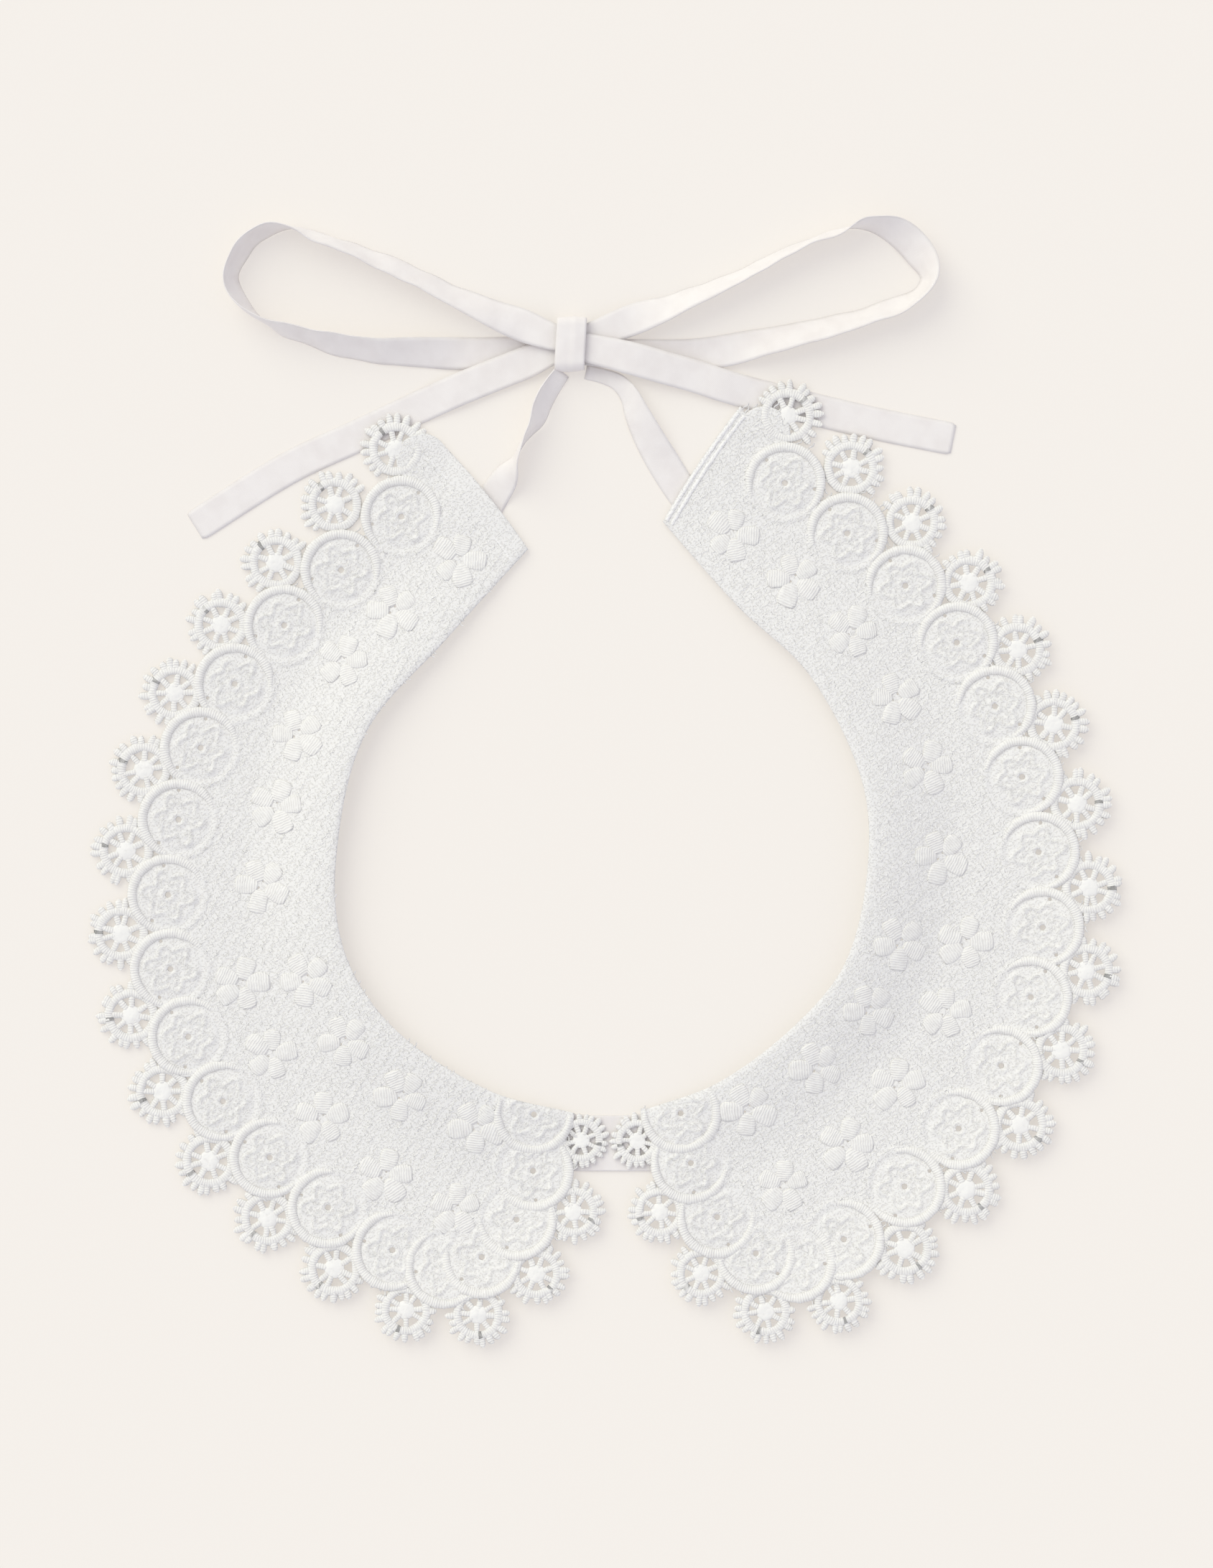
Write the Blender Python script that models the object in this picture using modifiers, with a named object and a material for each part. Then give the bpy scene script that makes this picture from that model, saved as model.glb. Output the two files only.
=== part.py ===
"""Detachable guipure lace collar, laid flat and tied at the back of the neck.

Metres, +Z up, lying on Z = 0. +Y runs from the two rounded front points to the bow behind
the neck, and X = 0 is the line between the fronts. Every name below is in millimetres or
degrees, and MM turns a finished point into metres.
"""

import math
from collections import Counter

import bpy
import numpy as np
from mathutils import Vector
from mathutils.geometry import delaunay_2d_cdt

MM = 0.001

# Lace
LACE_WALL = 1.2
NECK_ROLL = 30.0  # how far in from the neck edge the lace curls up
EDGE_ROLL = 20.0  # how far in from the wheels it curls up
BED_PITCH = 12.0  # spacing of the points that carry the curl
BED_CLEAR = 1.5  # no such point nearer than this to the drawn work
RIM_CLEAR = 3.0  # nor than this to the edge, on the underside
LINE_SAMPLES = 48
SNAP = 0.02  # points closer than this in the cut become one
UNDER_SNAP = 0.0001
TOUCH = 0.1

# Wheels along the outer edge
WHEEL_COUNT = 18
FRONT_WHEELS = 4  # the last few stand closer round the front point
FRONT_PITCH = 0.87
END_WHEEL_SCALE = 0.68  # the two that meet at the centre front are smaller
RIM_RADIUS = 8.3
RIM_INSIDE = 6.0
HUB_RADIUS = 2.7
SPOKES = 8
SPOKE_WIDTH = 1.3
PICOT_TIP = 11.2
PICOT_BASE = 1.9
PICOT_COUNT = 10
PICOT_SPREAD = 204.0  # the arc of the rim that carries picots
HUB_RISE = 0.9
RIM_RISE = 0.6
PICOT_DROP = 0.3

# Round scallops between the wheels
SCALLOP_RADIUS = 12.3
SCALLOP_INSET = 13.6  # centre, inwards from the line of the wheels
BACK_INSETS = (16.4, 15.6, 14.6)  # the first few sit farther in
SCALLOP_SIDES = 14
CORD_WIDTH = 2.2
CORD_RISE = 0.9
CORD_GAP = 0.4  # a cord stops this far short of the scallop lying over it
CORD_FRONT, CORD_BACK = 100.0, -150.0  # ends of the raised cord, from straight outwards
LOBE_COUNT = 6
LOBE_RADIUS = 5.4
LOBE_SPREAD = 2.4
LOBE_RISE = 0.5

# Raised five-petal flowers on the ground
PETALS = 5
PETAL_START, PETAL_MIDDLE, PETAL_END = 1.8, 5.4, 8.9
PETAL_HALF = 2.7
PETAL_RISE = 0.9
FLOWER_TURN = 37.0

# Turned ends at the back of the neck
HEM_WIDTH = 6.0
HEM_ENDS = (0.06, 0.72)  # the raised line, as shares of the turned end
HEM_RISE = 0.5
HEM_POINTS = 9
HEM_SWELL = 0.9  # how far the turned end bows out

# Cotton tape and neckband
TAPE_WIDTH = 10.0
TAPE_WALL = 1.0
TAPE_STEP = 6.6
TWIST_ROOM = 0.3  # clearance over the surface where a tape leans
BAND_WALL = 1.0
OVER_TAPE = 1.55  # underside of the lace where something passes below it
TAPE_MARGIN = 1.6
TAPE_FADE = 13.0

LACE_COLOUR = (0.84, 0.84, 0.82, 1.0)
TAPE_COLOUR = (0.87, 0.85, 0.84, 1.0)

# Neck edge from the back corner to the front: x, y, lift of the edge
NECK_LINE = {
    "lace_left": (
        (-24.0, 71.9, 0.8),
        (-49.3, 43.8, 4.0),
        (-73.3, 15.6, 6.5),
        (-82.3, -22.0, 7.0),
        (-79.9, -51.0, 6.5),
        (-64.9, -74.4, 6.0),
        (-36.1, -93.5, 4.0),
        (-9.7, -100.8, 0.4),
    ),
    "lace_right": (
        (17.2, 80.3, 0.8),
        (40.3, 54.1, 3.0),
        (62.0, 33.2, 4.5),
        (77.7, 1.5, 6.0),
        (79.6, -25.0, 6.5),
        (73.0, -54.0, 6.0),
        (57.6, -73.5, 5.0),
        (34.3, -91.1, 3.5),
        (13.0, -99.3, 0.4),
    ),
}

# Line through the wheel hubs, back to front: x, y, lift
WHEEL_LINE = {
    "lace_left": (
        (-64.5, 102.5, 0.6),
        (-101.4, 67.5, 0.6),
        (-132.1, 27.9, 0.6),
        (-147.1, -21.3, 0.8),
        (-145.0, -72.2, 0.8),
        (-120.7, -116.4, 1.0),
        (-83.3, -148.1, 2.0),
        (-61.2, -160.8, 3.0),
        (-37.3, -161.7, 3.2),
        (-21.0, -149.2, 3.0),
        (-10.2, -130.7, 2.4),
        (-6.9, -109.0, 0.6),
    ),
    "lace_right": (
        (55.4, 112.8, 0.8),
        (93.4, 79.9, 2.2),
        (125.2, 41.8, 2.8),
        (143.7, -5.7, 3.0),
        (146.3, -59.0, 3.0),
        (125.3, -105.8, 3.0),
        (92.1, -141.1, 3.0),
        (71.7, -157.7, 3.2),
        (48.8, -161.2, 3.2),
        (27.4, -148.1, 3.0),
        (16.5, -131.4, 2.4),
        (9.4, -109.3, 0.6),
    ),
}

# Outer end of the turned hem, and the scallops at the two ends of each half: x, y, radius
BACK_CORNER = {"lace_left": (-51.0, 105.0), "lace_right": (45.3, 118.1)}
END_SCALLOPS = {
    "lace_left": ((-56.2, 97.0, 7.6), (-22.2, -101.0, 12.3)),
    "lace_right": ((51.2, 106.6, 7.6), (22.7, -100.7, 12.3)),
}

# Flowers, back to front: share of the way along the neck edge, distance in from it
FLOWER_PLACES = (
    (0.072, 13.5),
    (0.180, 18.0),
    (0.269, 18.4),
    (0.355, 19.4),
    (0.437, 20.5),
    (0.527, 22.6),
    (0.613, 33.4),
    (0.629, 14.0),
    (0.675, 34.6),
    (0.706, 14.1),
    (0.744, 35.6),
    (0.794, 14.6),
    (0.824, 38.3),
    (0.888, 11.8),
    (0.898, 37.6),
)

# Tape, in the order it runs: x, y, width, lean, lift. A lean of 0 lies flat, 90 stands on
# the left edge, and 180 lies turned over.
TAPE_RUNS = {
    "strap_left": (
        (-38.5, 76.0, 8.0, 0.0, 0.0),
        (-33.4, 84.2, 6.5, 0.0, 0.0),
        (-29.2, 90.8, 5.5, 12.0, 0.0),
        (-25.6, 97.4, 6.5, 62.0, 0.2),
        (-22.4, 104.2, 8.0, 84.0, 0.3),
        (-19.1, 111.5, 8.0, 112.0, 0.3),
        (-16.7, 118.2, 6.5, 128.0, 0.2),
        (-14.9, 123.6, 4.5, 120.0, 0.1),
    ),
    "strap_right": (
        (30.5, 79.5, 10.0, 0.0, 0.0),
        (22.9, 90.0, 10.0, 0.0, 0.0),
        (17.6, 97.2, 10.0, 6.0, 0.0),
        (12.0, 105.2, 9.5, 42.0, 0.2),
        (8.4, 112.4, 7.5, 72.0, 0.2),
        (6.4, 118.0, 5.5, 52.0, 0.2),
        (3.4, 121.8, 4.5, 12.0, 0.0),
        (-1.0, 124.0, 4.0, 0.0, 0.0),
        (-5.6, 125.0, 4.0, 0.0, 0.0),
    ),
    "tail_left": (
        (-12.6, 133.2, 8.2, 0.0, 2.6),
        (-17.0, 132.2, 8.4, 0.0, 2.5),
        (-24.0, 129.2, 9.8, 0.0, 1.6),
        (-31.7, 126.2, 10.0, 0.0, 1.3),
        (-46.0, 120.4, 10.0, 0.0, 1.3),
        (-60.0, 114.2, 10.0, 0.0, 0.0),
        (-75.7, 106.9, 10.0, 0.0, 0.0),
        (-97.7, 96.6, 10.0, 0.0, 0.0),
        (-126.1, 78.8, 10.0, 0.0, 0.0),
    ),
    "tail_right": (
        (-9.2, 133.8, 8.4, 0.0, 3.9),
        (-4.0, 132.8, 9.0, 0.0, 3.9),
        (7.7, 130.0, 10.0, 0.0, 3.9),
        (18.0, 127.2, 10.0, 0.0, 2.8),
        (27.0, 124.8, 10.0, 0.0, 1.7),
        (35.0, 122.2, 10.0, 0.0, 1.4),
        (46.0, 119.2, 10.0, 0.0, 0.0),
        (78.3, 111.3, 10.0, 0.0, 0.0),
        (106.3, 105.6, 10.0, 0.0, 0.0),
    ),
    "bow_loop_left": (
        (-12.6, 132.8, 8.4, 0.0, 1.3),
        (-17.5, 132.6, 9.0, 0.0, 1.2),
        (-25.0, 132.1, 10.0, 0.0, 0.1),
        (-42.0, 131.8, 10.0, 2.0, 0.1),
        (-55.0, 132.0, 10.0, 34.0, 0.2),
        (-76.8, 133.0, 10.0, 64.0, 0.1),
        (-92.2, 136.8, 10.0, 76.0, 0.1),
        (-106.4, 142.2, 10.0, 84.0, 0.1),
        (-114.8, 151.2, 10.0, 88.0, 0.1),
        (-113.4, 162.8, 10.0, 88.0, 0.1),
        (-105.4, 169.0, 10.0, 84.0, 0.1),
        (-90.0, 167.8, 10.0, 66.0, 0.1),
        (-66.9, 158.8, 10.0, 58.0, 0.1),
        (-50.0, 150.8, 10.0, 50.0, 0.4),
        (-36.0, 144.2, 10.0, 30.0, 1.4),
        (-25.0, 139.9, 10.0, 5.0, 2.9),
        (-17.5, 137.0, 8.4, 0.0, 3.8),
        (-12.6, 136.2, 8.2, 0.0, 3.9),
    ),
    "bow_loop_right": (
        (-9.2, 136.0, 8.2, 0.0, 2.6),
        (-4.5, 137.0, 8.4, 0.0, 2.6),
        (6.5, 141.4, 9.6, 2.0, 2.4),
        (20.7, 146.4, 10.0, 45.0, 0.8),
        (35.6, 152.9, 10.0, 72.0, 0.2),
        (55.2, 162.4, 10.0, 80.0, 0.1),
        (72.8, 169.4, 10.0, 86.0, 0.1),
        (85.5, 171.2, 10.0, 100.0, 0.4),
        (94.4, 167.6, 10.0, 125.0, 0.6),
        (98.0, 159.8, 10.0, 138.0, 0.6),
        (94.6, 151.8, 10.0, 142.0, 0.4),
        (84.6, 145.6, 10.0, 146.0, 0.2),
        (69.6, 140.8, 10.0, 150.0, 0.2),
        (54.0, 136.4, 10.0, 160.0, 0.2),
        (38.0, 133.0, 10.0, 179.0, 0.1),
        (26.0, 131.4, 10.0, 180.0, 0.1),
        (9.0, 131.2, 10.0, 180.0, 0.9),
        (-4.0, 132.2, 8.6, 180.0, 1.3),
        (-9.2, 132.8, 8.4, 180.0, 1.3),
    ),
}

# What passes below each half of the lace
PASSES_UNDER = {
    "lace_left": ("strap_left", "tail_left"),
    "lace_right": ("strap_right", "tail_right"),
}

# Knot: the turn of tape round the crossing, open at the sides where the strands leave it
KNOT_LEFT, KNOT_RIGHT = -15.5, -6.4
KNOT_FRONT, KNOT_BACK = 126.3, 142.7
KNOT_HEIGHT = 6.2
KNOT_ROUNDING = 2.0
KNOT_TURN = 30.0  # degrees between the sections of its rounded corners

# Neckband where it shows between the fronts
BAND_LEFT, BAND_RIGHT = -21.0, 22.0
BAND_TOP, BAND_BOTTOM = -101.6, -118.6
BAND_SIDE_RISE = 2.4  # its upper edge follows the curve of the neck
BAND_COLUMNS = 8


def distances_along(rows):
    """How far along the curve each row lies, by the straight distance between rows."""
    places = [0.0]
    for here, there in zip(rows, rows[1:]):
        places.append(places[-1] + math.dist(here[:2], there[:2]))
    return places


def row_at(rows, places, place):
    """The row at one distance along, on a smooth curve through all of them."""
    last = len(rows) - 1
    i = max(k for k in range(last) if places[k] <= max(place, 0.0))
    span = places[i + 1] - places[i]
    f = (place - places[i]) / span

    def slope(k, column):
        low, high = max(k - 1, 0), min(k + 1, last)
        return (rows[high][column] - rows[low][column]) / (places[high] - places[low])

    found = []
    for column in range(len(rows[0])):
        start, end = rows[i][column], rows[i + 1][column]
        out, into = slope(i, column) * span, slope(i + 1, column) * span
        found.append(
            start * (2 * f**3 - 3 * f**2 + 1)
            + out * (f**3 - 2 * f**2 + f)
            + end * (3 * f**2 - 2 * f**3)
            + into * (f**3 - f**2)
        )
    return found


def resampled(rows, count):
    """Evenly spaced rows on the smooth curve."""
    places = distances_along(rows)
    return [row_at(rows, places, places[-1] * k / (count - 1)) for k in range(count)]


def frames_on(rows, places, side):
    """Centre, outward direction and forward direction at each place on a wheel line."""
    found = []
    for place in places:
        ends = distances_along(rows)
        before = row_at(rows, ends, max(place - 1.0, 0.0))
        after = row_at(rows, ends, min(place + 1.0, ends[-1] - 0.001))
        here = row_at(rows, ends, min(place, ends[-1] - 0.001))
        forward = Vector((after[0] - before[0], after[1] - before[1])).normalized()
        outward = Vector((-forward.y, forward.x)) * side
        found.append((Vector(here[:2]), outward, forward))
    return found


def nearest_on(line, x, y):
    """Distance from a point to a run of rows, and the row values nearest to it."""
    best = None
    for here, there in zip(line, line[1:]):
        dx, dy = there[0] - here[0], there[1] - here[1]
        f = ((x - here[0]) * dx + (y - here[1]) * dy) / (dx * dx + dy * dy)
        f = min(max(f, 0.0), 1.0)
        away = math.hypot(x - here[0] - dx * f, y - here[1] - dy * f)
        if best is None or away < best[0]:
            turn = dx * (y - here[1]) - dy * (x - here[0])
            best = (away, turn, [a + (b - a) * f for a, b in zip(here, there)])
    return best


def falling(share):
    """1 at the start, 0 at the end, level at both."""
    share = min(max(share, 0.0), 1.0)
    return (1 - share) ** 2 * (1 + 2 * share)


def polar(frame, radius, angle):
    """A point round a centre; angle 0 is outwards, 90 is towards the front."""
    centre, outward, forward = frame
    turn = math.radians(angle)
    return centre + (outward * math.cos(turn) + forward * math.sin(turn)) * radius


class LacePlan:
    """The flat cut of one half: its wheels, scallops, flowers and edges, seen from above."""

    def __init__(self, name):
        self.name = name
        self.side = -1 if name == "lace_left" else 1
        self.points, self.lines, self.faces, self.kinds = [], [], [], []
        self.neck = resampled(NECK_LINE[name], LINE_SAMPLES)
        self.edge = resampled(WHEEL_LINE[name], LINE_SAMPLES)
        self.wheels = self.wheel_frames()
        self.scallops = self.scallop_frames()
        self.flowers = self.flower_frames()
        self.strips = [resampled(TAPE_RUNS[run], LINE_SAMPLES) for run in PASSES_UNDER[name]]

    def wheel_frames(self):
        rows = WHEEL_LINE[self.name]
        steps = [1.0] * (WHEEL_COUNT - 1 - FRONT_WHEELS) + [FRONT_PITCH] * FRONT_WHEELS
        pitch = distances_along(rows)[-1] / sum(steps)
        places = [pitch * sum(steps[:k]) for k in range(WHEEL_COUNT)]
        frames = frames_on(rows, places, self.side)
        return [
            (frame, END_WHEEL_SCALE if k == WHEEL_COUNT - 1 else 1.0)
            for k, frame in enumerate(frames)
        ]

    def scallop_frames(self):
        back, front = END_SCALLOPS[self.name]
        found = [((Vector(back[:2]), *self.wheels[0][0][1:]), back[2])]
        insets = BACK_INSETS + (SCALLOP_INSET,) * (WHEEL_COUNT - 1 - len(BACK_INSETS))
        for (here, _), (there, _), inset in zip(self.wheels, self.wheels[1:], insets):
            forward = (there[0] - here[0]).normalized()
            outward = Vector((-forward.y, forward.x)) * self.side
            middle = (here[0] + there[0]) / 2
            found.append(((middle - outward * inset, outward, forward), SCALLOP_RADIUS))
        found.append(((Vector(front[:2]), Vector((0, -1)), Vector((-self.side, 0))), front[2]))
        return found

    def flower_frames(self):
        rows = NECK_LINE[self.name]
        total = distances_along(rows)[-1]
        edges = frames_on(rows, [total * share for share, away in FLOWER_PLACES], self.side)
        found = []
        for k, (edge, (share, away)) in enumerate(zip(edges, FLOWER_PLACES)):
            turn = math.radians(FLOWER_TURN * k)
            outward = Vector((math.cos(turn), math.sin(turn)))
            found.append((edge[0] + edge[1] * away, outward, Vector((-outward.y, outward.x))))
        return found

    def add_line(self, run, closed=False):
        first = len(self.points)
        self.points += run
        self.lines += [(first + k, first + k + 1) for k in range(len(run) - 1)]
        if closed:
            self.lines.append((first + len(run) - 1, first))

    def add_face(self, kind, run):
        area = sum(a.x * b.y - b.x * a.y for a, b in zip(run, run[1:] + run[:1]))
        run = run if area > 0 else run[::-1]
        first = len(self.points)
        self.points += run
        self.faces.append(list(range(first, first + len(run))))
        self.kinds.append(kind)

    def add_ground(self):
        neck = [Vector(row[:2]) for row in self.neck[::2] + self.neck[-1:]]
        back = Vector(BACK_CORNER[self.name])
        centres = [frame[0] for frame, radius in self.scallops[1:]]
        along = (back - neck[0]).normalized()
        inwards = Vector((along.y, -along.x)) * self.side
        end = []
        for k in range(HEM_POINTS):
            share = k / HEM_POINTS
            swell = HEM_SWELL * 4 * share * (1 - share)
            end.append(back.lerp(neck[0], share) - inwards * swell)
        self.add_face("ground", neck + centres[::-1] + end)
        front = neck[len(neck) // 2 :]
        self.add_face("beyond", front + [Vector((0, front[-1].y)), Vector((0, front[0].y))])
        self.add_line([neck[0].lerp(back, share) + inwards * HEM_WIDTH for share in HEM_ENDS])
        self.hem = (neck[0] + inwards * HEM_WIDTH, inwards)

    def add_wheel(self, frame, scale):
        first = -PICOT_SPREAD / 2
        pitch = PICOT_SPREAD / (PICOT_COUNT - 1)
        half = math.degrees(PICOT_BASE / 2 / RIM_RADIUS)
        outline = []
        for k in range(PICOT_COUNT):
            middle = first + k * pitch
            outline.append(polar(frame, RIM_RADIUS * scale, middle - half))
            outline.append(polar(frame, PICOT_TIP * scale, middle))
            outline.append(polar(frame, RIM_RADIUS * scale, middle + half))
        rest = 360 - PICOT_SPREAD
        for k in range(1, 5):
            angle = PICOT_SPREAD / 2 + rest * k / 5
            outline.append(polar(frame, RIM_RADIUS * scale, angle))
        self.add_face("wheel", outline)
        for k in range(SPOKES):
            middle = 360 * (k + 0.5) / SPOKES
            half = 180 / SPOKES - math.degrees(SPOKE_WIDTH / 2 / RIM_INSIDE)
            gap = [(HUB_RADIUS, middle), (RIM_INSIDE, middle + half), (RIM_INSIDE, middle - half)]
            self.add_face("gap", [polar(frame, r * scale, angle) for r, angle in gap])
        self.points.append(frame[0])

    def add_scallop(self, frame, radius, over):
        step = 360 / SCALLOP_SIDES
        self.add_face("scallop", [polar(frame, radius, step * k) for k in range(SCALLOP_SIDES)])
        first = math.ceil(CORD_BACK / step)
        last = math.floor(CORD_FRONT / step)
        for inset in (CORD_WIDTH / 2, CORD_WIDTH):
            run = [polar(frame, radius - inset, step * k) for k in range(first, last + 1)]
            if over:
                run = [p for p in run if (p - over[0][0]).length > over[1] + CORD_GAP]
            self.add_line(run)
        for k in range(LOBE_COUNT):
            self.points.append(polar(frame, LOBE_RADIUS, 360 * k / LOBE_COUNT))
        self.points.append(frame[0])

    def add_flower(self, frame):
        for k in range(PETALS):
            angle = 360 * k / PETALS
            side = math.degrees(math.atan2(PETAL_HALF, PETAL_MIDDLE))
            reach = math.hypot(PETAL_HALF, PETAL_MIDDLE)
            run = [(PETAL_START, 0), (reach, side), (PETAL_END, 0), (reach, -side)]
            self.add_line([polar(frame, r, angle + turn) for r, turn in run], closed=True)
            self.points.append(polar(frame, PETAL_MIDDLE, angle))

    def bed_points(self):
        """Points that let the wall follow its curl and clear the tapes below."""
        xs = [row[0] for row in self.edge + self.neck]
        ys = [row[1] for row in self.edge + self.neck]
        found = []
        for i in range(int((max(xs) - min(xs)) / BED_PITCH) + 1):
            for j in range(int((max(ys) - min(ys)) / BED_PITCH) + 1):
                shift = BED_PITCH / 2 * (j % 2)
                found.append((min(xs) + i * BED_PITCH + shift, min(ys) + j * BED_PITCH))
        for strip in self.strips:
            for here, there in zip(strip[::2], strip[2::2]):
                across = Vector((there[1] - here[1], here[0] - there[0])).normalized()
                for share in (-1, 0, 1):
                    away = share * (TAPE_WIDTH / 2 + TAPE_MARGIN)
                    found.append((here[0] + across.x * away, here[1] + across.y * away))
        return found

    def underside(self, x, y):
        """Height of the plain underside over the surface it lies on."""
        away, turn, row = nearest_on(self.neck, x, y)
        height = row[2] * falling(away / NECK_ROLL)
        away, turn, row = nearest_on(self.edge, x, y)
        inside = -1 if turn * self.side > 0 else 1
        height += row[2] * falling(inside * away / EDGE_ROLL)
        for strip in self.strips:
            away = nearest_on(strip, x, y)[0] - TAPE_WIDTH / 2 - TAPE_MARGIN
            height = max(height, OVER_TAPE * falling(away / TAPE_FADE))
        outside = math.hypot(
            max(BAND_LEFT - x, x - BAND_RIGHT, 0), max(BAND_BOTTOM - y, y + 96.0, 0)
        )
        return max(height, OVER_TAPE * falling((outside - TAPE_MARGIN) / TAPE_FADE))

    def relief(self, x, y):
        """Height of the raised work over the plain top of the lace."""
        point = Vector((x, y))
        for frame, radius in reversed(self.scallops):
            away = (point - frame[0]).length
            if away > radius + SNAP:
                continue
            offset = point - frame[0]
            angle = math.degrees(math.atan2(offset.dot(frame[2]), offset.dot(frame[1])))
            crest = 1 - abs(away - radius + CORD_WIDTH / 2) / (CORD_WIDTH / 2)
            if crest > 0 and CORD_BACK < angle < CORD_FRONT:
                return CORD_RISE * crest
            lobes = [polar(frame, LOBE_RADIUS, 360 * k / LOBE_COUNT) for k in range(LOBE_COUNT)]
            near = min((point - lobe).length for lobe in lobes)
            return LOBE_RISE * max(0.0, 1 - near / LOBE_SPREAD)
        for frame, scale in self.wheels:
            away = (point - frame[0]).length / scale
            if away < HUB_RADIUS - TOUCH:
                return HUB_RISE
            if RIM_INSIDE - TOUCH < away < RIM_RADIUS + TOUCH:
                return RIM_RISE
            if away < PICOT_TIP + TOUCH:
                return -PICOT_DROP if away > RIM_RADIUS else 0.0
        for frame in self.flowers:
            for k in range(PETALS):
                crest = polar(frame, PETAL_MIDDLE, 360 * k / PETALS)
                if (point - crest).length < TOUCH:
                    return PETAL_RISE
        start, inwards = self.hem
        return HEM_RISE if abs((point - start).dot(inwards)) < TOUCH else 0.0

    def build(self):
        """Draw the whole cut, keep what is lace, and give it a wall and its relief."""
        self.add_ground()
        for frame, scale in self.wheels:
            self.add_wheel(frame, scale)
        for k, (frame, radius) in enumerate(self.scallops):
            over = self.scallops[k + 1] if k + 1 < len(self.scallops) else None
            self.add_scallop(frame, radius, over)
        for frame in self.flowers:
            self.add_flower(frame)
        bed = self.bed_points()
        self.points += [Vector(p) for p in bed if self.is_plain(*p)]
        cut = delaunay_2d_cdt(self.points, self.lines, self.faces, 0, SNAP, True)
        corners, triangles, sources = cut[0], cut[2], cut[5]
        kept = {k for k, source in enumerate(sources) if self.is_lace(source)}
        fill_pinches(corners, triangles, kept)
        return self.walled(corners, [triangles[k] for k in sorted(kept)], bed)

    def is_plain(self, x, y):
        """Whether a spot is bare ground, away from the drawn work."""
        point = Vector((x, y))
        work = [(frame[0], radius + BED_CLEAR) for frame, radius in self.scallops]
        work += [(frame[0], PICOT_TIP + BED_CLEAR) for frame, scale in self.wheels]
        work += [(frame[0], PETAL_END) for frame in self.flowers]
        return all((point - centre).length > reach for centre, reach in work)

    def is_lace(self, sources):
        kinds = {self.kinds[k] for k in sources}
        panel = kinds & {"ground", "scallop"} and "beyond" not in kinds
        return bool(panel or ("wheel" in kinds and "gap" not in kinds))

    def walled(self, corners, top, bed):
        """Join the worked top and the plain underside with straight sides."""
        used = sorted({k for triangle in top for k in triangle})
        place = {k: n for n, k in enumerate(used)}
        flat = np.array([corners[k][:] for k in used])
        faces = [[place[k] for k in triangle] for triangle in top]
        rim = open_edges(faces)
        under_xy, under_faces = plain_triangles(flat, rim, bed)
        high = [
            (x, y, self.underside(x, y) + LACE_WALL + self.relief(x, y)) for x, y in flat
        ]
        low = [(x, y, self.underside(x, y)) for x, y in under_xy]
        rim_points = sorted({k for pair in rim for k in pair})
        below = {k: len(high) + n for n, k in enumerate(rim_points)}
        faces += [[len(high) + k for k in reversed(triangle)] for triangle in under_faces]
        faces += [[b, a, below[a], below[b]] for a, b in rim]
        return high + low, faces


def open_edges(triangles):
    """Edges with lace on one side only, each running with its triangle."""
    directed = {(t[i], t[(i + 1) % 3]) for t in triangles for i in range(3)}
    return [(a, b) for a, b in directed if (b, a) not in directed]


def fill_pinches(corners, triangles, kept):
    """Fill the narrow side wherever two edges of the lace meet in a single point."""

    def area(k):
        a, b, c = (corners[corner] for corner in triangles[k])
        return (b - a).cross(c - a)

    while True:
        starts = Counter(a for a, b in open_edges([triangles[k] for k in kept]))
        pinched = {corner for corner, count in starts.items() if count > 1}
        if not pinched:
            return
        spare = [k for k in range(len(triangles)) if k not in kept and pinched & set(triangles[k])]
        kept.add(min(spare, key=area))


def plain_triangles(flat, rim, bed):
    """Triangles for the underside: the rim's own points, then a few over the middle."""
    rim_points = sorted({k for pair in rim for k in pair})
    place = {k: n for n, k in enumerate(rim_points)}
    starts = np.array([flat[a] for a, b in rim])
    ends = np.array([flat[b] for a, b in rim])

    def inside(x, y):
        crosses = (starts[:, 1] > y) != (ends[:, 1] > y)
        with np.errstate(divide="ignore", invalid="ignore"):
            at = starts[:, 0] + (y - starts[:, 1]) / (ends[:, 1] - starts[:, 1]) * (
                ends[:, 0] - starts[:, 0]
            )
        return (crosses & (at > x)).sum() % 2 == 1

    def clear(x, y):
        return np.hypot(starts[:, 0] - x, starts[:, 1] - y).min() > RIM_CLEAR

    middle = [p for p in bed if inside(*p) and clear(*p)]
    points = [Vector(flat[k]) for k in rim_points] + [Vector(p) for p in middle]
    lines = [(place[a], place[b]) for a, b in rim]
    cut = delaunay_2d_cdt(points, lines, [], 0, UNDER_SNAP, True)
    source = [min(ids) for ids in cut[3]]
    faces = []
    for triangle in cut[2]:
        centre = sum((cut[0][k] for k in triangle), Vector((0, 0))) / 3
        if inside(centre.x, centre.y):
            faces.append([source[k] for k in triangle])
    return [tuple(p) for p in points], faces


def material(name, colour, roughness):
    made = bpy.data.materials.new(name)
    made.use_nodes = True
    shader = made.node_tree.nodes["Principled BSDF"]
    shader.inputs["Base Color"].default_value = colour
    shader.inputs["Roughness"].default_value = roughness
    shader.inputs["Metallic"].default_value = 0.0
    return made


def placed(name, points, faces, collection, finish):
    """One object whose points are given in millimetres where the piece lies."""
    mesh = bpy.data.meshes.new(name)
    mesh.from_pydata([Vector(p) * MM for p in points], [], faces)
    mesh.materials.append(finish)
    found = bpy.data.objects.new(name, mesh)
    collection.objects.link(found)
    return found


def thicken(piece, wall):
    solid = piece.modifiers.new("wall", "SOLIDIFY")
    solid.thickness = wall * MM
    solid.offset = 0.0


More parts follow.
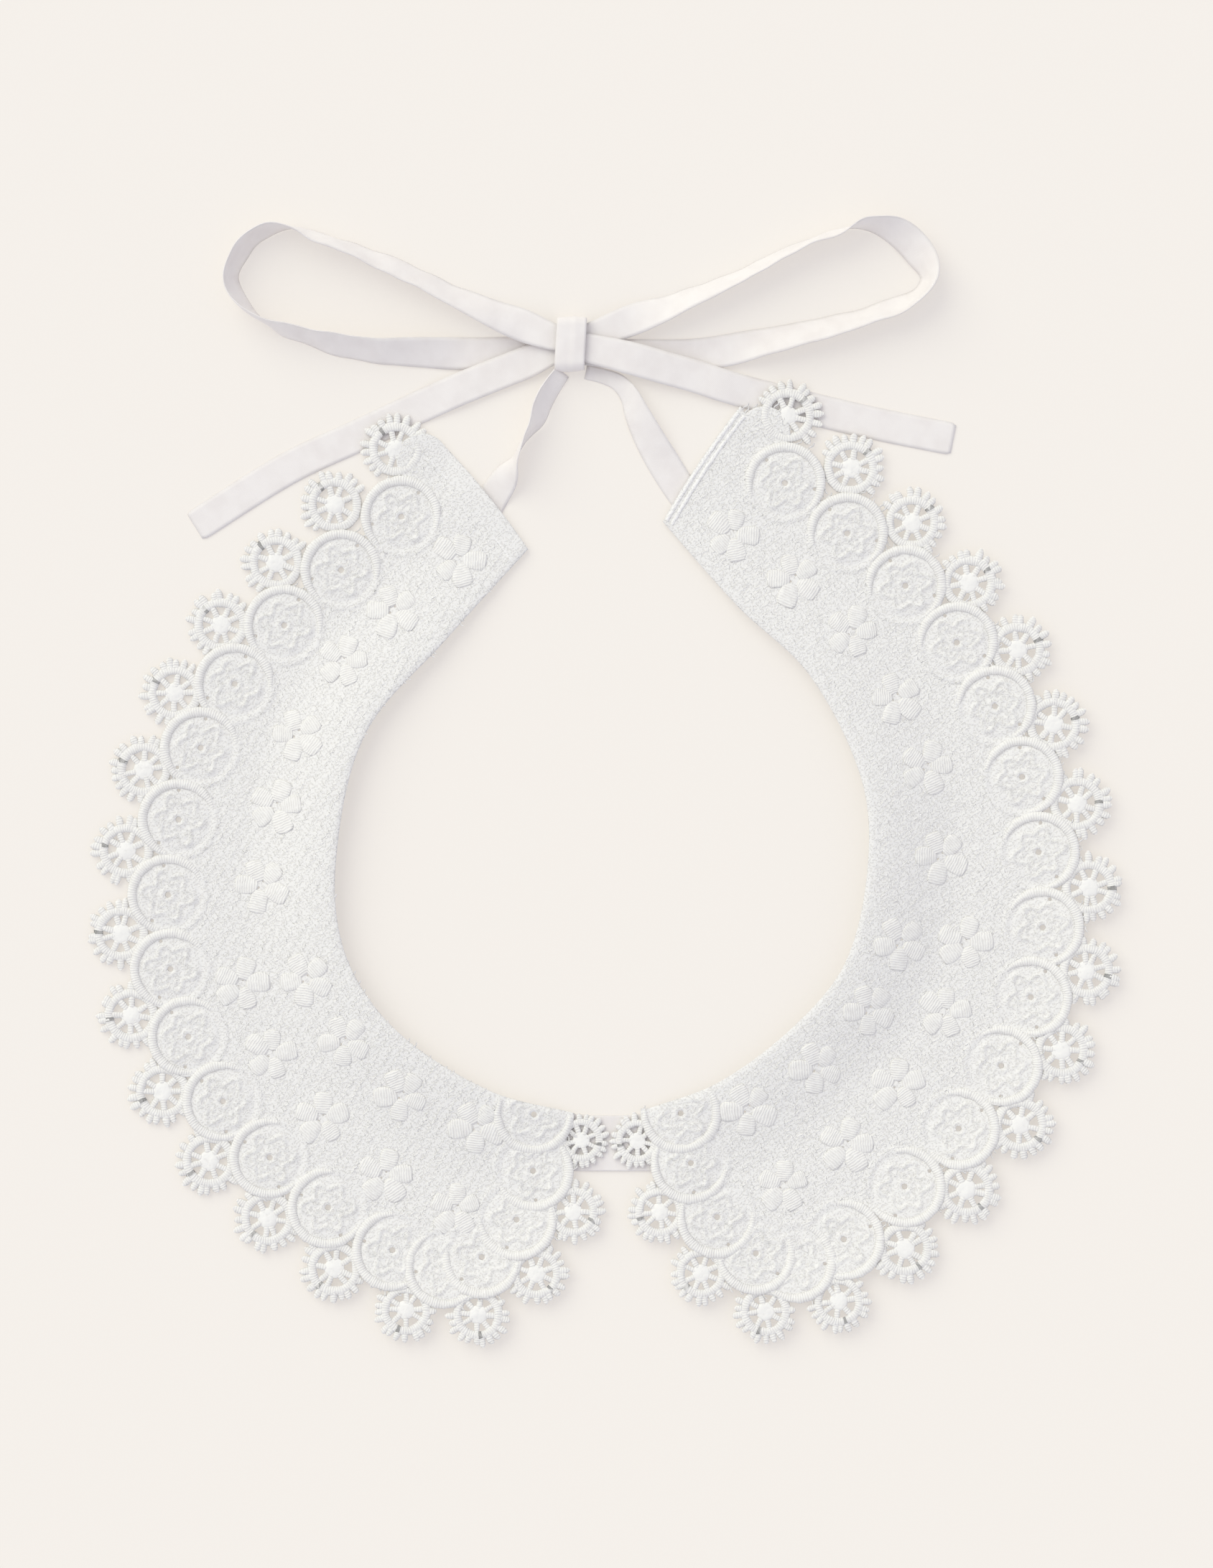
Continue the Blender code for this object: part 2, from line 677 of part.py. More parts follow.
def make_tape(name, collection, finish):
    """A flat tape that lies, leans or stands on edge along its run."""
    rows = TAPE_RUNS[name]
    count = max(4, round(distances_along(rows)[-1] / TAPE_STEP))
    sections = resampled(rows, count)
    points = []
    for k, (x, y, width, lean, lift) in enumerate(sections):
        before, after = sections[max(k - 1, 0)], sections[min(k + 1, count - 1)]
        along = Vector((after[0] - before[0], after[1] - before[1], 0)).normalized()
        turn = math.radians(min(max(lean, 0), 180))
        rightwards = Vector((along.y, -along.x, 0)) * math.cos(turn)
        across = (rightwards + Vector((0, 0, math.sin(turn)))) * width / 2
        height = max(lift, 0) + abs(math.cos(turn)) * TAPE_WALL / 2
        height += math.sin(turn) * (width / 2 + TWIST_ROOM)
        centre = Vector((x, y, height))
        points += [centre - across, centre + across]
    faces = [[2 * k, 2 * k + 1, 2 * k + 3, 2 * k + 2] for k in range(count - 1)]
    thicken(placed(name, points, faces, collection, finish), TAPE_WALL)


def make_knot(collection, finish):
    """One turn of tape, as a flat sleeve round the strands."""
    inset = KNOT_ROUNDING
    centres = (
        (KNOT_BACK - inset, KNOT_HEIGHT - inset, 0),
        (KNOT_FRONT + inset, KNOT_HEIGHT - inset, 90),
        (KNOT_FRONT + inset, inset, 180),
        (KNOT_BACK - inset, inset, 270),
    )
    ring = []
    for y, z, start in centres:
        for k in range(int(90 / KNOT_TURN) + 1):
            turn = math.radians(start + k * KNOT_TURN)
            reach = inset - TAPE_WALL / 2
            ring.append((y + reach * math.cos(turn), z + reach * math.sin(turn)))
    points = [(x, y, z) for x in (KNOT_LEFT, KNOT_RIGHT) for y, z in ring]
    count = len(ring)
    faces = [[k, (k + 1) % count, count + (k + 1) % count, count + k] for k in range(count)]
    thicken(placed("knot_wrap", points, faces, collection, finish), TAPE_WALL)


def make_neckband(collection, finish):
    """The short stretch of neckband that shows between the fronts."""
    points = []
    for k in range(BAND_COLUMNS):
        share = k / (BAND_COLUMNS - 1)
        x = BAND_LEFT + (BAND_RIGHT - BAND_LEFT) * share
        upper = BAND_TOP + BAND_SIDE_RISE * (2 * share - 1) ** 2
        points += [(x, BAND_BOTTOM, BAND_WALL / 2), (x, upper, BAND_WALL / 2)]
    faces = [[2 * k, 2 * k + 2, 2 * k + 3, 2 * k + 1] for k in range(BAND_COLUMNS - 1)]
    thicken(placed("neckband", points, faces, collection, finish), BAND_WALL)


def main():
    for old in list(bpy.data.objects):
        bpy.data.objects.remove(old, do_unlink=True)
    collection = bpy.data.collections.new("lace collar")
    bpy.context.scene.collection.children.link(collection)
    lace = material("cotton guipure", LACE_COLOUR, 0.9)
    tape = material("cotton lawn tape", TAPE_COLOUR, 0.85)
    for name in NECK_LINE:
        points, faces = LacePlan(name).build()
        placed(name, points, faces, collection, lace)
    for name in TAPE_RUNS:
        make_tape(name, collection, tape)
    make_knot(collection, tape)
    make_neckband(collection, tape)


main()
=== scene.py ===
import math
from functools import partial

import bpy
import numpy as np
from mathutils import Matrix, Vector, noise
from mathutils.geometry import delaunay_2d_cdt


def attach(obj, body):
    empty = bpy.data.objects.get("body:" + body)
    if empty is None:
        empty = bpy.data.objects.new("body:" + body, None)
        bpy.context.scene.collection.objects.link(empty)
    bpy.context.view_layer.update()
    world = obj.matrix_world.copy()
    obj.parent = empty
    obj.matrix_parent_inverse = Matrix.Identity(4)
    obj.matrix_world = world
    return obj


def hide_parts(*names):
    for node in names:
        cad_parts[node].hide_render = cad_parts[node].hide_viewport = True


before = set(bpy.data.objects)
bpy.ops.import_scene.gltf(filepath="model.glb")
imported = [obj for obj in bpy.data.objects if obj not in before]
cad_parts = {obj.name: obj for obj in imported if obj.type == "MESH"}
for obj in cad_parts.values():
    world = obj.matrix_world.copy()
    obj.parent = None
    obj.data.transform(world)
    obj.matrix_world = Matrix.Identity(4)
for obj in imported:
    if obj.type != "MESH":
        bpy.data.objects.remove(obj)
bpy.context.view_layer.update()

# A lace collar laid flat. Everything is drawn in millimetres: flat first, then
# lifted to the height it lies at, and turned into metres at the very end.
mm = 0.001

neckLine = {  # neck edge, back corner to front: x, y, lift of the edge
    "left": (
        (-24, 71.9, 0.8), (-49.3, 43.8, 4), (-73.3, 15.6, 6.5), (-82.3, -22, 7), (-79.9, -51, 6.5),
        (-64.9, -74.4, 6), (-36.1, -93.5, 4), (-9.7, -100.8, 0.4),
    ),
    "right": (
        (17.2, 80.3, 0.8), (40.3, 54.1, 3), (62, 33.2, 4.5), (77.7, 1.5, 6), (79.6, -25, 6.5),
        (73, -54, 6), (57.6, -73.5, 5), (34.3, -91.1, 3.5), (13, -99.3, 0.4),
    ),
}
wheelLine = {  # line through the wheel hubs, back to front: x, y, lift
    "left": (
        (-64.5, 102.5, 0.6), (-101.4, 67.5, 0.6), (-132.1, 27.9, 0.6), (-147.1, -21.3, 0.8),
        (-145, -72.2, 0.8), (-120.7, -116.4, 1), (-83.3, -148.1, 2), (-61.2, -160.8, 3),
        (-37.3, -161.7, 3.2), (-21, -149.2, 3), (-10.2, -130.7, 2.4), (-7.7, -109, 0.6),
    ),
    "right": (
        (55.4, 112.8, 0.8), (93.4, 79.9, 2.2), (125.2, 41.8, 2.8), (143.7, -5.7, 3), (146.3, -59, 3),
        (125.3, -105.8, 3), (92.1, -141.1, 3), (71.7, -157.7, 3.2), (48.8, -161.2, 3.2),
        (27.4, -148.1, 3), (16.5, -131.4, 2.4), (9.4, -109.3, 0.6),
    ),
}
backCorner = {"left": (-51, 105), "right": (41, 115.8)}
endScallops = {  # the first and last scallop of each half: x, y, radius
    "left": ((-56.4, 99.4, 7.9), (-22.2, -101, 12.3)),
    "right": ((48.2, 107.6, 8), (22.7, -100.7, 12.3)),
}
flowerPlaces = (  # share of the way along the neck edge, distance in from it
    (0.072, 13.5), (0.180, 18), (0.269, 18.4), (0.355, 19.4), (0.437, 20.5), (0.527, 22.6),
    (0.613, 33.4), (0.629, 14), (0.675, 34.6), (0.706, 14.1), (0.744, 35.6), (0.794, 14.6),
    (0.824, 38.3), (0.888, 11.8), (0.898, 37.6),
)
tapeRuns = {  # x, y, width, lean (0 flat, 90 on its left edge, 180 turned over), lift
    "strap_left": (
        (-40.6, 77.6, 10, 0, 0), (-37.8, 82.6, 10, 0, 0), (-34.8, 87.8, 9.5, 0, 0),
        (-31, 93.6, 9, 22, 0.1), (-27.6, 99.4, 9, 82, 0.2), (-24.8, 104.8, 9.5, 98, 0.2),
        (-21.4, 111.4, 9.8, 114, 0.2), (-18.4, 117.8, 9.6, 122, 0.2), (-15.8, 122.6, 7.6, 124, 0.2),
        (-13.4, 126, 5.6, 140, 0.2),
    ),
    "strap_right": (
        (30.5, 79.5, 10, 0, 0), (22.4, 90.6, 10, 0, 0), (17.4, 98.4, 10, 4, 0), (13, 106, 9.4, 14, 0.1),
        (9.4, 113.2, 8.2, 22, 0.2), (6.8, 119.2, 6.4, 26, 0.2), (3.6, 123, 5.2, 12, 0.1),
        (-1.2, 125, 4.6, 0, 0), (-6.4, 126.2, 4.4, 0, 0),
    ),
    "tail_left": (
        (-12.6, 133.2, 8.2, 0, 2.6), (-17, 132.2, 8.4, 0, 2.5), (-24, 129.2, 9.8, 0, 1.6),
        (-31.7, 126.2, 10, 0, 1.3), (-46, 120.4, 10, 0, 1.3), (-60, 114.2, 10, 0, 0),
        (-75.7, 106.9, 10, 0, 0), (-97.7, 96.6, 10, 0, 0), (-126.1, 78.8, 10, 0, 0),
    ),
    "tail_right": (
        (-9.2, 133.8, 8.4, 0, 3.9), (-4, 132.8, 9, 0, 3.9), (7.7, 130, 10, 0, 3.9),
        (18, 127.2, 10, 0, 2.8), (27, 124.8, 10, 0, 1.7), (35, 122.2, 10, 0, 1.4),
        (46, 119.2, 10, 0, 0), (78.3, 111.3, 10, 0, 0), (106.3, 105.6, 10, 0, 0),
    ),
    "bow_loop_left": (
        (-12.6, 132.8, 8.4, 0, 1.3), (-17.5, 132.6, 9, 0, 1.2), (-25, 132.1, 10, 0, 0.1),
        (-42, 131.8, 10, 2, 0.1), (-55, 132, 10, 26, 0.2), (-76.8, 133.2, 10, 52, 0.1),
        (-92.2, 136.8, 10, 68, 0.1), (-104.4, 141.6, 10, 84, 0.1), (-111.8, 147.6, 10, 106, 0.1),
        (-114.6, 155.2, 10, 112, 0.1), (-111.2, 163.4, 10, 120, 0.1), (-104.4, 168.8, 10, 110, 0.1),
        (-97.4, 169.6, 10, 92, 0.1), (-88, 167, 10, 68, 0.1), (-66.9, 158.8, 10, 58, 0.1),
        (-50, 150.8, 10, 50, 0.4), (-36, 144.2, 10, 30, 1.4), (-25, 139.9, 10, 5, 2.9),
        (-17.5, 137, 8.4, 0, 3.8), (-12.6, 136.2, 8.2, 0, 3.9),
    ),
    "bow_loop_right": (
        (-9.2, 136, 8.2, 0, 2.6), (-4.5, 137, 8.4, 0, 2.6), (6.5, 141.4, 9.6, 2, 2.4),
        (20.7, 146.4, 10, 45, 0.8), (35.6, 152.9, 10, 58, 0.2), (55.2, 162.4, 10, 68, 0.1),
        (72.8, 169.6, 10, 82, 0.1), (81, 170.8, 10, 112, 0.3), (89.4, 168.4, 10, 146, 0.5),
        (95.6, 162.4, 10, 152, 0.6), (98.6, 155, 10, 122, 0.5), (94.4, 149, 10, 116, 0.4),
        (83, 144.2, 10, 126, 0.2), (66, 139.2, 10, 134, 0.2), (50, 135.6, 10, 148, 0.2),
        (38, 133, 10, 172, 0.1), (26, 131.4, 10, 180, 0.1), (9, 131.2, 10, 180, 0.9),
        (-4, 132.2, 8.6, 180, 1.3), (-9.2, 132.8, 8.4, 180, 1.3),
    ),
}
passesUnder = {"left": ("strap_left", "tail_left"), "right": ("strap_right", "tail_right")}


def distancesAlong(rows):
    places = [0.0]
    for here, there in zip(rows, rows[1:]):
        places.append(places[-1] + math.dist(here[:2], there[:2]))
    return places


def rowAt(rows, places, place):  # the row at one distance along, on a smooth curve
    last = len(rows) - 1
    i = max(k for k in range(last) if places[k] <= max(place, 0.0))
    span = places[i + 1] - places[i]
    f = (place - places[i]) / span

    def slope(k, column):
        low, high = max(k - 1, 0), min(k + 1, last)
        return (rows[high][column] - rows[low][column]) / (places[high] - places[low])

    found = []
    for column in range(len(rows[0])):
        start, end = rows[i][column], rows[i + 1][column]
        out, into = slope(i, column) * span, slope(i + 1, column) * span
        found.append(
            start * (2 * f**3 - 3 * f**2 + 1) + out * (f**3 - 2 * f**2 + f)
            + end * (3 * f**2 - 2 * f**3) + into * (f**3 - f**2)
        )
    return found


def resampled(rows, count):
    places = distancesAlong(rows)
    return [rowAt(rows, places, places[-1] * k / (count - 1)) for k in range(count)]


def framesOn(rows, places, side):  # centre, outwards and forwards at each place
    found = []
    ends = distancesAlong(rows)
    for place in places:
        before = rowAt(rows, ends, max(place - 1.0, 0.0))
        after = rowAt(rows, ends, min(place + 1.0, ends[-1] - 0.001))
        here = rowAt(rows, ends, min(place, ends[-1] - 0.001))
        forward = Vector((after[0] - before[0], after[1] - before[1])).normalized()
        found.append((Vector(here[:2]), Vector((-forward.y, forward.x)) * side, forward))
    return found


def polar(spot, radius, angle):  # angle 0 is outwards, 90 is towards the front
    centre, outward, forward = spot
    turn = math.radians(angle)
    return centre + (outward * math.cos(turn) + forward * math.sin(turn)) * radius


def nearestOn(line, points):  # distance to a line of rows, its side, and its lift there
    best = np.full(len(points), np.inf)
    side, lift = np.zeros(len(points)), np.zeros(len(points))
    rows = np.array(line)
    for start, end in zip(rows, rows[1:]):
        run = end[:2] - start[:2]
        offset = points - start[:2]
        share = np.clip(offset @ run / (run @ run), 0, 1)
        away = np.hypot(*(offset - share[:, None] * run).T)
        nearer = away < best
        best[nearer] = away[nearer]
        side[nearer] = (run[0] * offset[:, 1] - run[1] * offset[:, 0])[nearer]
        lift[nearer] = (start[2] + (end[2] - start[2]) * share)[nearer]
    return best, side, lift


def falling(share):  # 1 at the start, 0 at the end, level at both
    share = np.clip(share, 0, 1)
    return (1 - share) ** 2 * (1 + 2 * share)


def insideLoop(points, starts, ends):  # even-odd test for many points
    x, y = points[:, :1], points[:, 1:]
    crosses = (starts[:, 1] > y) != (ends[:, 1] > y)
    with np.errstate(divide="ignore", invalid="ignore"):
        at = starts[:, 0] + (y - starts[:, 1]) / (ends[:, 1] - starts[:, 1]) * (
            ends[:, 0] - starts[:, 0]
        )
    return (crosses & (at > x)).sum(1) % 2 == 1


def unevenness(points, size, seed):  # smooth random heights, about -0.5 to 0.5
    return np.array([noise.noise(Vector((x / size, y / size, seed))) for x, y in points])


# Finishes

def linear(colour):  # sRGB hex to the linear colour that a shader takes
    parts = [int(colour[k : k + 2], 16) / 255 for k in (1, 3, 5)]
    return [c / 12.92 if c <= 0.04045 else ((c + 0.055) / 1.055) ** 2.4 for c in parts] + [1.0]


def addNode(tree, kind, inputs=(), **settings):  # sets a node up and returns its outputs
    families = ("ShaderNode", "GeometryNode", "FunctionNode")
    node = tree.nodes.new(next(f for f in families if hasattr(bpy.types, f + kind)) + kind)
    for setting, value in settings.items():
        setattr(node, setting, value)
    for place, value in inputs.items() if isinstance(inputs, dict) else enumerate(inputs):
        for each in value if isinstance(value, list) else [value]:
            if isinstance(each, bpy.types.NodeSocket):
                tree.links.new(each, node.inputs[place])
            else:
                node.inputs[place].default_value = each
    return node.outputs


def startMaterial(name, roughness, sheen):
    made = bpy.data.materials.new(name)
    made.use_nodes = True
    shader = made.node_tree.nodes["Principled BSDF"]
    shader.inputs["Roughness"].default_value = roughness
    shader.inputs["IOR"].default_value = 1.5
    shader.inputs["Specular IOR Level"].default_value = 0.2
    shader.inputs["Sheen Weight"].default_value = sheen
    shader.inputs["Sheen Roughness"].default_value = 0.5
    return made, partial(addNode, made.node_tree), shader


def finishShader(shader, height, depth, share, low, high):
    # colour from crevice to crest by share, so the darker crevices are painted shade; relief from
    # height, depth in millimetres
    tree = shader.id_data
    ramp = tree.nodes.new("ShaderNodeValToRGB")
    for element, colour, place in zip(ramp.color_ramp.elements, (low, high), (0.25, 0.6)):
        element.color = linear(colour)
        element.position = place
    tree.links.new(share, ramp.inputs[0])
    tree.links.new(ramp.outputs[0], shader.inputs["Base Color"])
    bump = addNode(tree, "Bump", {"Strength": 1.0, "Distance": depth * mm, "Height": height})
    tree.links.new(bump["Normal"], shader.inputs["Normal"])


threadLook = {
    # the low colours go into the crevices of the relief as painted shade, with some random tone; the
    # high ones to the crests
    "groundShadeLow": "#E3E1DE",
    "groundHigh": "#EFEEEC",
    "threadShadeLow": "#EDECEA",
    "threadHigh": "#F6F5F4",
    "strand": 1.15,  # mm between the crinkled strands
    "slants": (52.0, -47.0),  # degrees, the two ways that the strands cross
    "strandDepth": 0.1,
    "fuzz": 0.8,
    "satinShadeLow": "#E8E6E3",
    "satinHigh": "#F4F3F0",
    "stitch": 0.75,  # mm; real satin stitch lies at 0.3, too fine to show
    "stitchDepth": 0.2,
}


def makeGuipure(name, low, high):
    # Cotton guipure: dense machine stitching on a ground that is washed away. The thread
    # is matt and lies in crossing crinkled strands, so the white breaks into small warm
    # shadows.
    made, add, shader = startMaterial(name, 0.88, 0.15)
    place = add("TexCoord")["Object"]
    strands = []
    for slant in threadLook["slants"]:
        turned = add("Mapping", {"Vector": place, "Rotation": (0, 0, math.radians(slant))})[0]
        strands.append(add("TexWave", {
            "Vector": turned,
            "Scale": 2 * math.pi / (20 * threadLook["strand"] * mm),
            "Distortion": 8.0,
            "Detail": 1.0,
            "Detail Scale": 2.6,
        })["Fac"])
    crossed = add("Math", strands, operation="MAXIMUM")[0]
    grain = {"Vector": place, "Scale": 1.0 / (threadLook["fuzz"] * mm), "Detail": 2.0}
    fuzz = add("TexNoise", grain)["Fac"]
    height = add("Math", (fuzz, 0.5, crossed), operation="MULTIPLY_ADD")[0]
    # painted shade: the crevices between the crossed strands take the darker low colour, and the fuzz
    # also varies the tone at random
    share = add("Math", (height, 0.6), operation="MULTIPLY")[0]
    finishShader(shader, height, threadLook["strandDepth"], share, low, high)
    return made


def makeSatin():
    # Satin stitch: the same cotton laid side by side over a padding, so it is smoother,
    # a little brighter than the ground, and shows fine ribs across its run.
    made, add, shader = startMaterial("cottonSatinStitch", 0.6, 0.2)
    place = add("TexCoord")["Object"]
    drift = add("TexNoise", {"Vector": place, "Scale": 700.0, "Detail": 2.0})["Fac"]
    along = add("Attribute", attribute_name="along")["Fac"]  # mm, stored by the node trees
    phase = add("Math", (drift, 3.0), operation="MULTIPLY")[0]
    pitch = 2 * math.pi / threadLook["stitch"]
    turned = add("Math", (along, pitch, phase), operation="MULTIPLY_ADD")[0]
    wave = add("Math", (turned,), operation="SINE")[0]
    # painted shade: the troughs between the stitch ribs take the darker low colour, with a random drift
    # in tone
    height = add("Math", (wave, 0.25, drift), operation="MULTIPLY_ADD")[0]
    low, high = threadLook["satinShadeLow"], threadLook["satinHigh"]
    finishShader(shader, height, threadLook["stitchDepth"], height, low, high)
    return made


tapeLook = {
    # low is the painted shade in the hollows of the creases, high the crests
    "low": "#EBE6E4",
    "high": "#F1EDEB",
    "thread": 0.42,  # mm; lawn has a thread each 0.2, too fine to show
    "depth": 0.14,
}


def makeLawn():
    # Cotton lawn tape: a plain weave of fine thread, soft and matt, creased where it was
    # folded and pressed; the crease hollows are painted a little darker, as painted shade.
    made, add, shader = startMaterial("cottonLawnTape", 0.8, 0.25)
    place = add("UVMap", uv_map="weave")["UV"]
    parts = add("SeparateXYZ", (place,))
    pitch = 2 * math.pi / tapeLook["thread"]
    turned = [add("Math", (parts[axis], pitch), operation="MULTIPLY")[0] for axis in ("X", "Y")]
    waves = [add("Math", (turn,), operation="SINE")[0] for turn in turned]
    weave = add("Math", waves, operation="MULTIPLY")[0]
    drawn = add("Mapping", {"Vector": place, "Scale": (0.12, 0.15, 1.0)})[0]
    creases = add("TexNoise", {"Vector": drawn, "Scale": 1.0, "Detail": 2.0})["Fac"]
    height = add("Math", (weave, 0.12, creases), operation="MULTIPLY_ADD")[0]
    # painted shade: the colour follows the crease relief and is darker in its hollows
    finishShader(shader, height, tapeLook["depth"], creases, tapeLook["low"], tapeLook["high"])
    return made


guipure = makeGuipure("cottonGuipureGround", threadLook["groundShadeLow"], threadLook["groundHigh"])
looseThread = makeGuipure("cottonGuipureThread", threadLook["threadShadeLow"], threadLook["threadHigh"])
satin = makeSatin()
lawn = makeLawn()
print("finishes made")

# Geometry Nodes trees. They work on carriers drawn in millimetres, whose points say how
# far each copy is turned and how large it is.

collection = bpy.data.collections.new("laceCollar")
bpy.context.scene.collection.children.link(collection)


def startTree(name, sizes):
    tree = bpy.data.node_groups.new(name, "GeometryNodeTree")
    tree.interface.new_socket("Geometry", in_out="INPUT", socket_type="NodeSocketGeometry")
    for label, value in sizes.items():
        kind = {int: "Int", float: "Float"}.get(type(value), "Material")
        tree.interface.new_socket(label, in_out="INPUT", socket_type="NodeSocket" + kind)
    tree.interface.new_socket("Geometry", in_out="OUTPUT", socket_type="NodeSocketGeometry")
    add = partial(addNode, tree)
    turn, size = [add("InputNamedAttribute", {"Name": n})["Attribute"] for n in ("turn", "size")]
    return add, tree.nodes.new("NodeGroupInput").outputs, turn, size


def placeCopies(add, points, shape, scale, angle=0.0):
    facing = add("CombineXYZ", {"Z": angle})[0]
    inputs = {"Points": points, "Instance": shape, "Rotation": facing, "Scale": scale}
    return add("RealizeInstances", add("InstanceOnPoints", inputs)[:1])[0]


def makeTube(add, curve, width, sides, scale):  # a round thread that stores how far it ran
    along = add("SplineParameter")["Length"]
    stored = {"Geometry": curve, "Name": "along", "Value": along}
    curve = add("StoreNamedAttribute", stored, data_type="FLOAT")[0]
    half = add("Math", (width, 0.5), operation="MULTIPLY")[0]
    outline = add("CurvePrimitiveCircle", {"Resolution": sides, "Radius": half})[0]
    inputs = {"Curve": curve, "Profile Curve": outline, "Scale": scale, "Fill Caps": True}
    return add("CurveToMesh", inputs)[0]


def endTree(add, shape, given, flatness):
    # ruffles the shape a little, presses it flatter, and gives it its finish
    place = add("InputPosition")[0]
    pressed = add("VectorMath", (place, (1, 1, flatness)), operation="MULTIPLY")[0]
    grain = {"Vector": place, "W": given["Seed"], "Scale": 0.42}
    ruffle = add("TexNoise", grain, noise_dimensions="4D")["Color"]
    centred = add("VectorMath", (ruffle, (0.5, 0.5, 0.5)), operation="SUBTRACT")[0]
    pushed = add("VectorMath", {0: centred, "Scale": given["Unevenness"]}, operation="SCALE")[0]
    placed = add("VectorMath", (pressed, pushed), operation="ADD")[0]
    shape = add("SetPosition", {"Geometry": shape, "Position": placed})[0]
    shape = add("SetShadeSmooth", {"Geometry": shape})[0]
    shape = add("RealizeInstances", {"Geometry": shape})[0]
    shape = add("SetMaterial", {"Geometry": shape, "Material": given["Finish"]})[0]
    tree = shape.id_data
    tree.links.new(shape, tree.nodes.new("NodeGroupOutput").inputs[0])
    return tree


def growShape(tree, carrier, sizes):  # the tree's result, as a plain mesh in millimetres
    holder = bpy.data.objects.new("holder", carrier)
    collection.objects.link(holder)
    grow = holder.modifiers.new("grow", "NODES")
    grow.node_group = tree
    for item in tree.interface.items_tree:
        if item.in_out == "INPUT" and item.name in sizes:
            grow[item.identifier] = sizes[item.name]
    view = bpy.context.evaluated_depsgraph_get()
    mesh = bpy.data.meshes.new_from_object(holder.evaluated_get(view))
    bpy.data.objects.remove(holder)
    return mesh


def makeCarrier(name, points, edges, values):  # a bare mesh with a number on each point
    mesh = bpy.data.meshes.new(name)
    mesh.from_pydata([(x, y, 0) for x, y in points], edges, [])
    for label, numbers in values.items():
        mesh.attributes.new(label, "FLOAT", "POINT").data.foreach_set("value", numbers)
    return mesh


wheelSizes = {
    "Rim radius": 6.9,
    "Rim width": 3.0,
    "Hub radius": 3.2,
    "Spokes": 8,
    "Spoke width": 2.0,
    "Picots": 13,
    "Picot spread": 204.0,  # degrees of the rim that carry picots
    "Picot length": 3.7,
    "Picot width": 2.3,
    "Unevenness": 1.1,
    "Seed": 11,
    "Finish": satin,
}


def makeWheelTree():
    add, given, turn, size = startTree("spokedWheel", wheelSizes)
    points = given["Geometry"]
    ring = add("CurvePrimitiveCircle", {"Resolution": 36, "Radius": given["Rim radius"]})[0]
    rings = placeCopies(add, points, ring, size, turn)
    meshes = [makeTube(add, rings, given["Rim width"], 7, size)]
    rods = (  # how many, arc they share, start, length, width, how far an angle may be off
        ("Spokes", None, None, "Rim radius", "Spoke width", 0.16),
        ("Picots", "Picot spread", "Rim radius", "Picot length", "Picot width", 0.09),
    )
    for count, spread, start, reach, width, jitter in rods:
        copies = add("DuplicateElements", {0: points, "Amount": given[count]}, domain="POINT")
        arc, gaps, reachScale, taper = 2 * math.pi, given[count], size, size
        if spread:
            arc = add("Math", (given[spread],), operation="RADIANS")[0]
            gaps = add("Math", (gaps, 1.0), operation="SUBTRACT")[0]
            longer = add("RandomValue", {2: 0.95, 3: 1.06, "Seed": 3})[1]
            reachScale = add("Math", (size, longer), operation="MULTIPLY")[0]
            tip = add("SplineParameter")["Factor"]  # rounds the tip off
            power = add("Math", (tip, 6.0), operation="POWER")[0]
            taper = add("Math", (1.12, power), operation="SUBTRACT")[0]
            taper = add("Math", (taper,), operation="SQRT")[0]
            taper = add("Math", (taper, size), operation="MULTIPLY")[0]
        pitch = add("Math", (arc, gaps), operation="DIVIDE")[0]
        first = add("Math", (arc, -0.5) if spread else (pitch, 0.5), operation="MULTIPLY")[0]
        line = add("CurvePrimitiveLine", {
            "Start": add("CombineXYZ", {"X": given[start] if start else 0.0})[0],
            "Direction": (1, 0, 0),
            "Length": given[reach],
        }, mode="DIRECTION")[0]
        line = add("ResampleCurve", {"Curve": line, "Count": 6})[0]
        number = copies["Duplicate Index"]
        angle = add("Math", (number, pitch, first), operation="MULTIPLY_ADD")[0]
        loose = add("RandomValue", {2: -jitter, 3: jitter, "Seed": given["Seed"]})[1]
        angle = add("Math", (angle, loose), operation="ADD")[0]
        angle = add("Math", (angle, turn), operation="ADD")[0]
        rod = placeCopies(add, copies["Geometry"], line, reachScale, angle)
        meshes.append(makeTube(add, rod, given[width], 7, taper))
    hub = {"Segments": 14, "Rings": 8, "Radius": given["Hub radius"]}
    ball = add("MeshUVSphere", hub)["Mesh"]
    ball = add("Transform", {"Geometry": ball, "Scale": (1.0, 1.0, 0.45)})[0]
    meshes.append(placeCopies(add, points, ball, size))
    return endTree(add, add("JoinGeometry", (meshes,))[0], given, 0.42)


cordSizes = {
    "Step": 0.75,
    "Width": 2.9,
    "Sides": 8,
    "Unevenness": 0.5,
    "Seed": 5,
    "Finish": satin,
}


def makeCordTree():  # a raised line of thread along each run of edges
    add, given, turn, size = startTree("raisedCord", cordSizes)
    curve = add("MeshToCurve", (given["Geometry"],))[0]
    curve = add("ResampleCurve", {"Curve": curve, "Length": given["Step"]}, mode="LENGTH")[0]
    grain = {"Vector": add("InputPosition")[0], "W": given["Seed"], "Scale": 0.7}
    swell = add("TexNoise", grain, noise_dimensions="4D")["Fac"]
    swell = add("Math", (swell, 0.6, 0.7), operation="MULTIPLY_ADD")[0]
    swell = add("Math", (swell, size), operation="MULTIPLY")[0]
    shape = makeTube(add, curve, given["Width"], given["Sides"], swell)
    return endTree(add, shape, given, 0.6)


petalSizes = {
    "Petals": 5,
    "Petal start": 1.25,
    "Petal length": 7.2,
    "Petal width": 6.3,
    "Petal rise": 0.48,
    "Unevenness": 1.2,
    "Seed": 23,
    "Finish": satin,
}


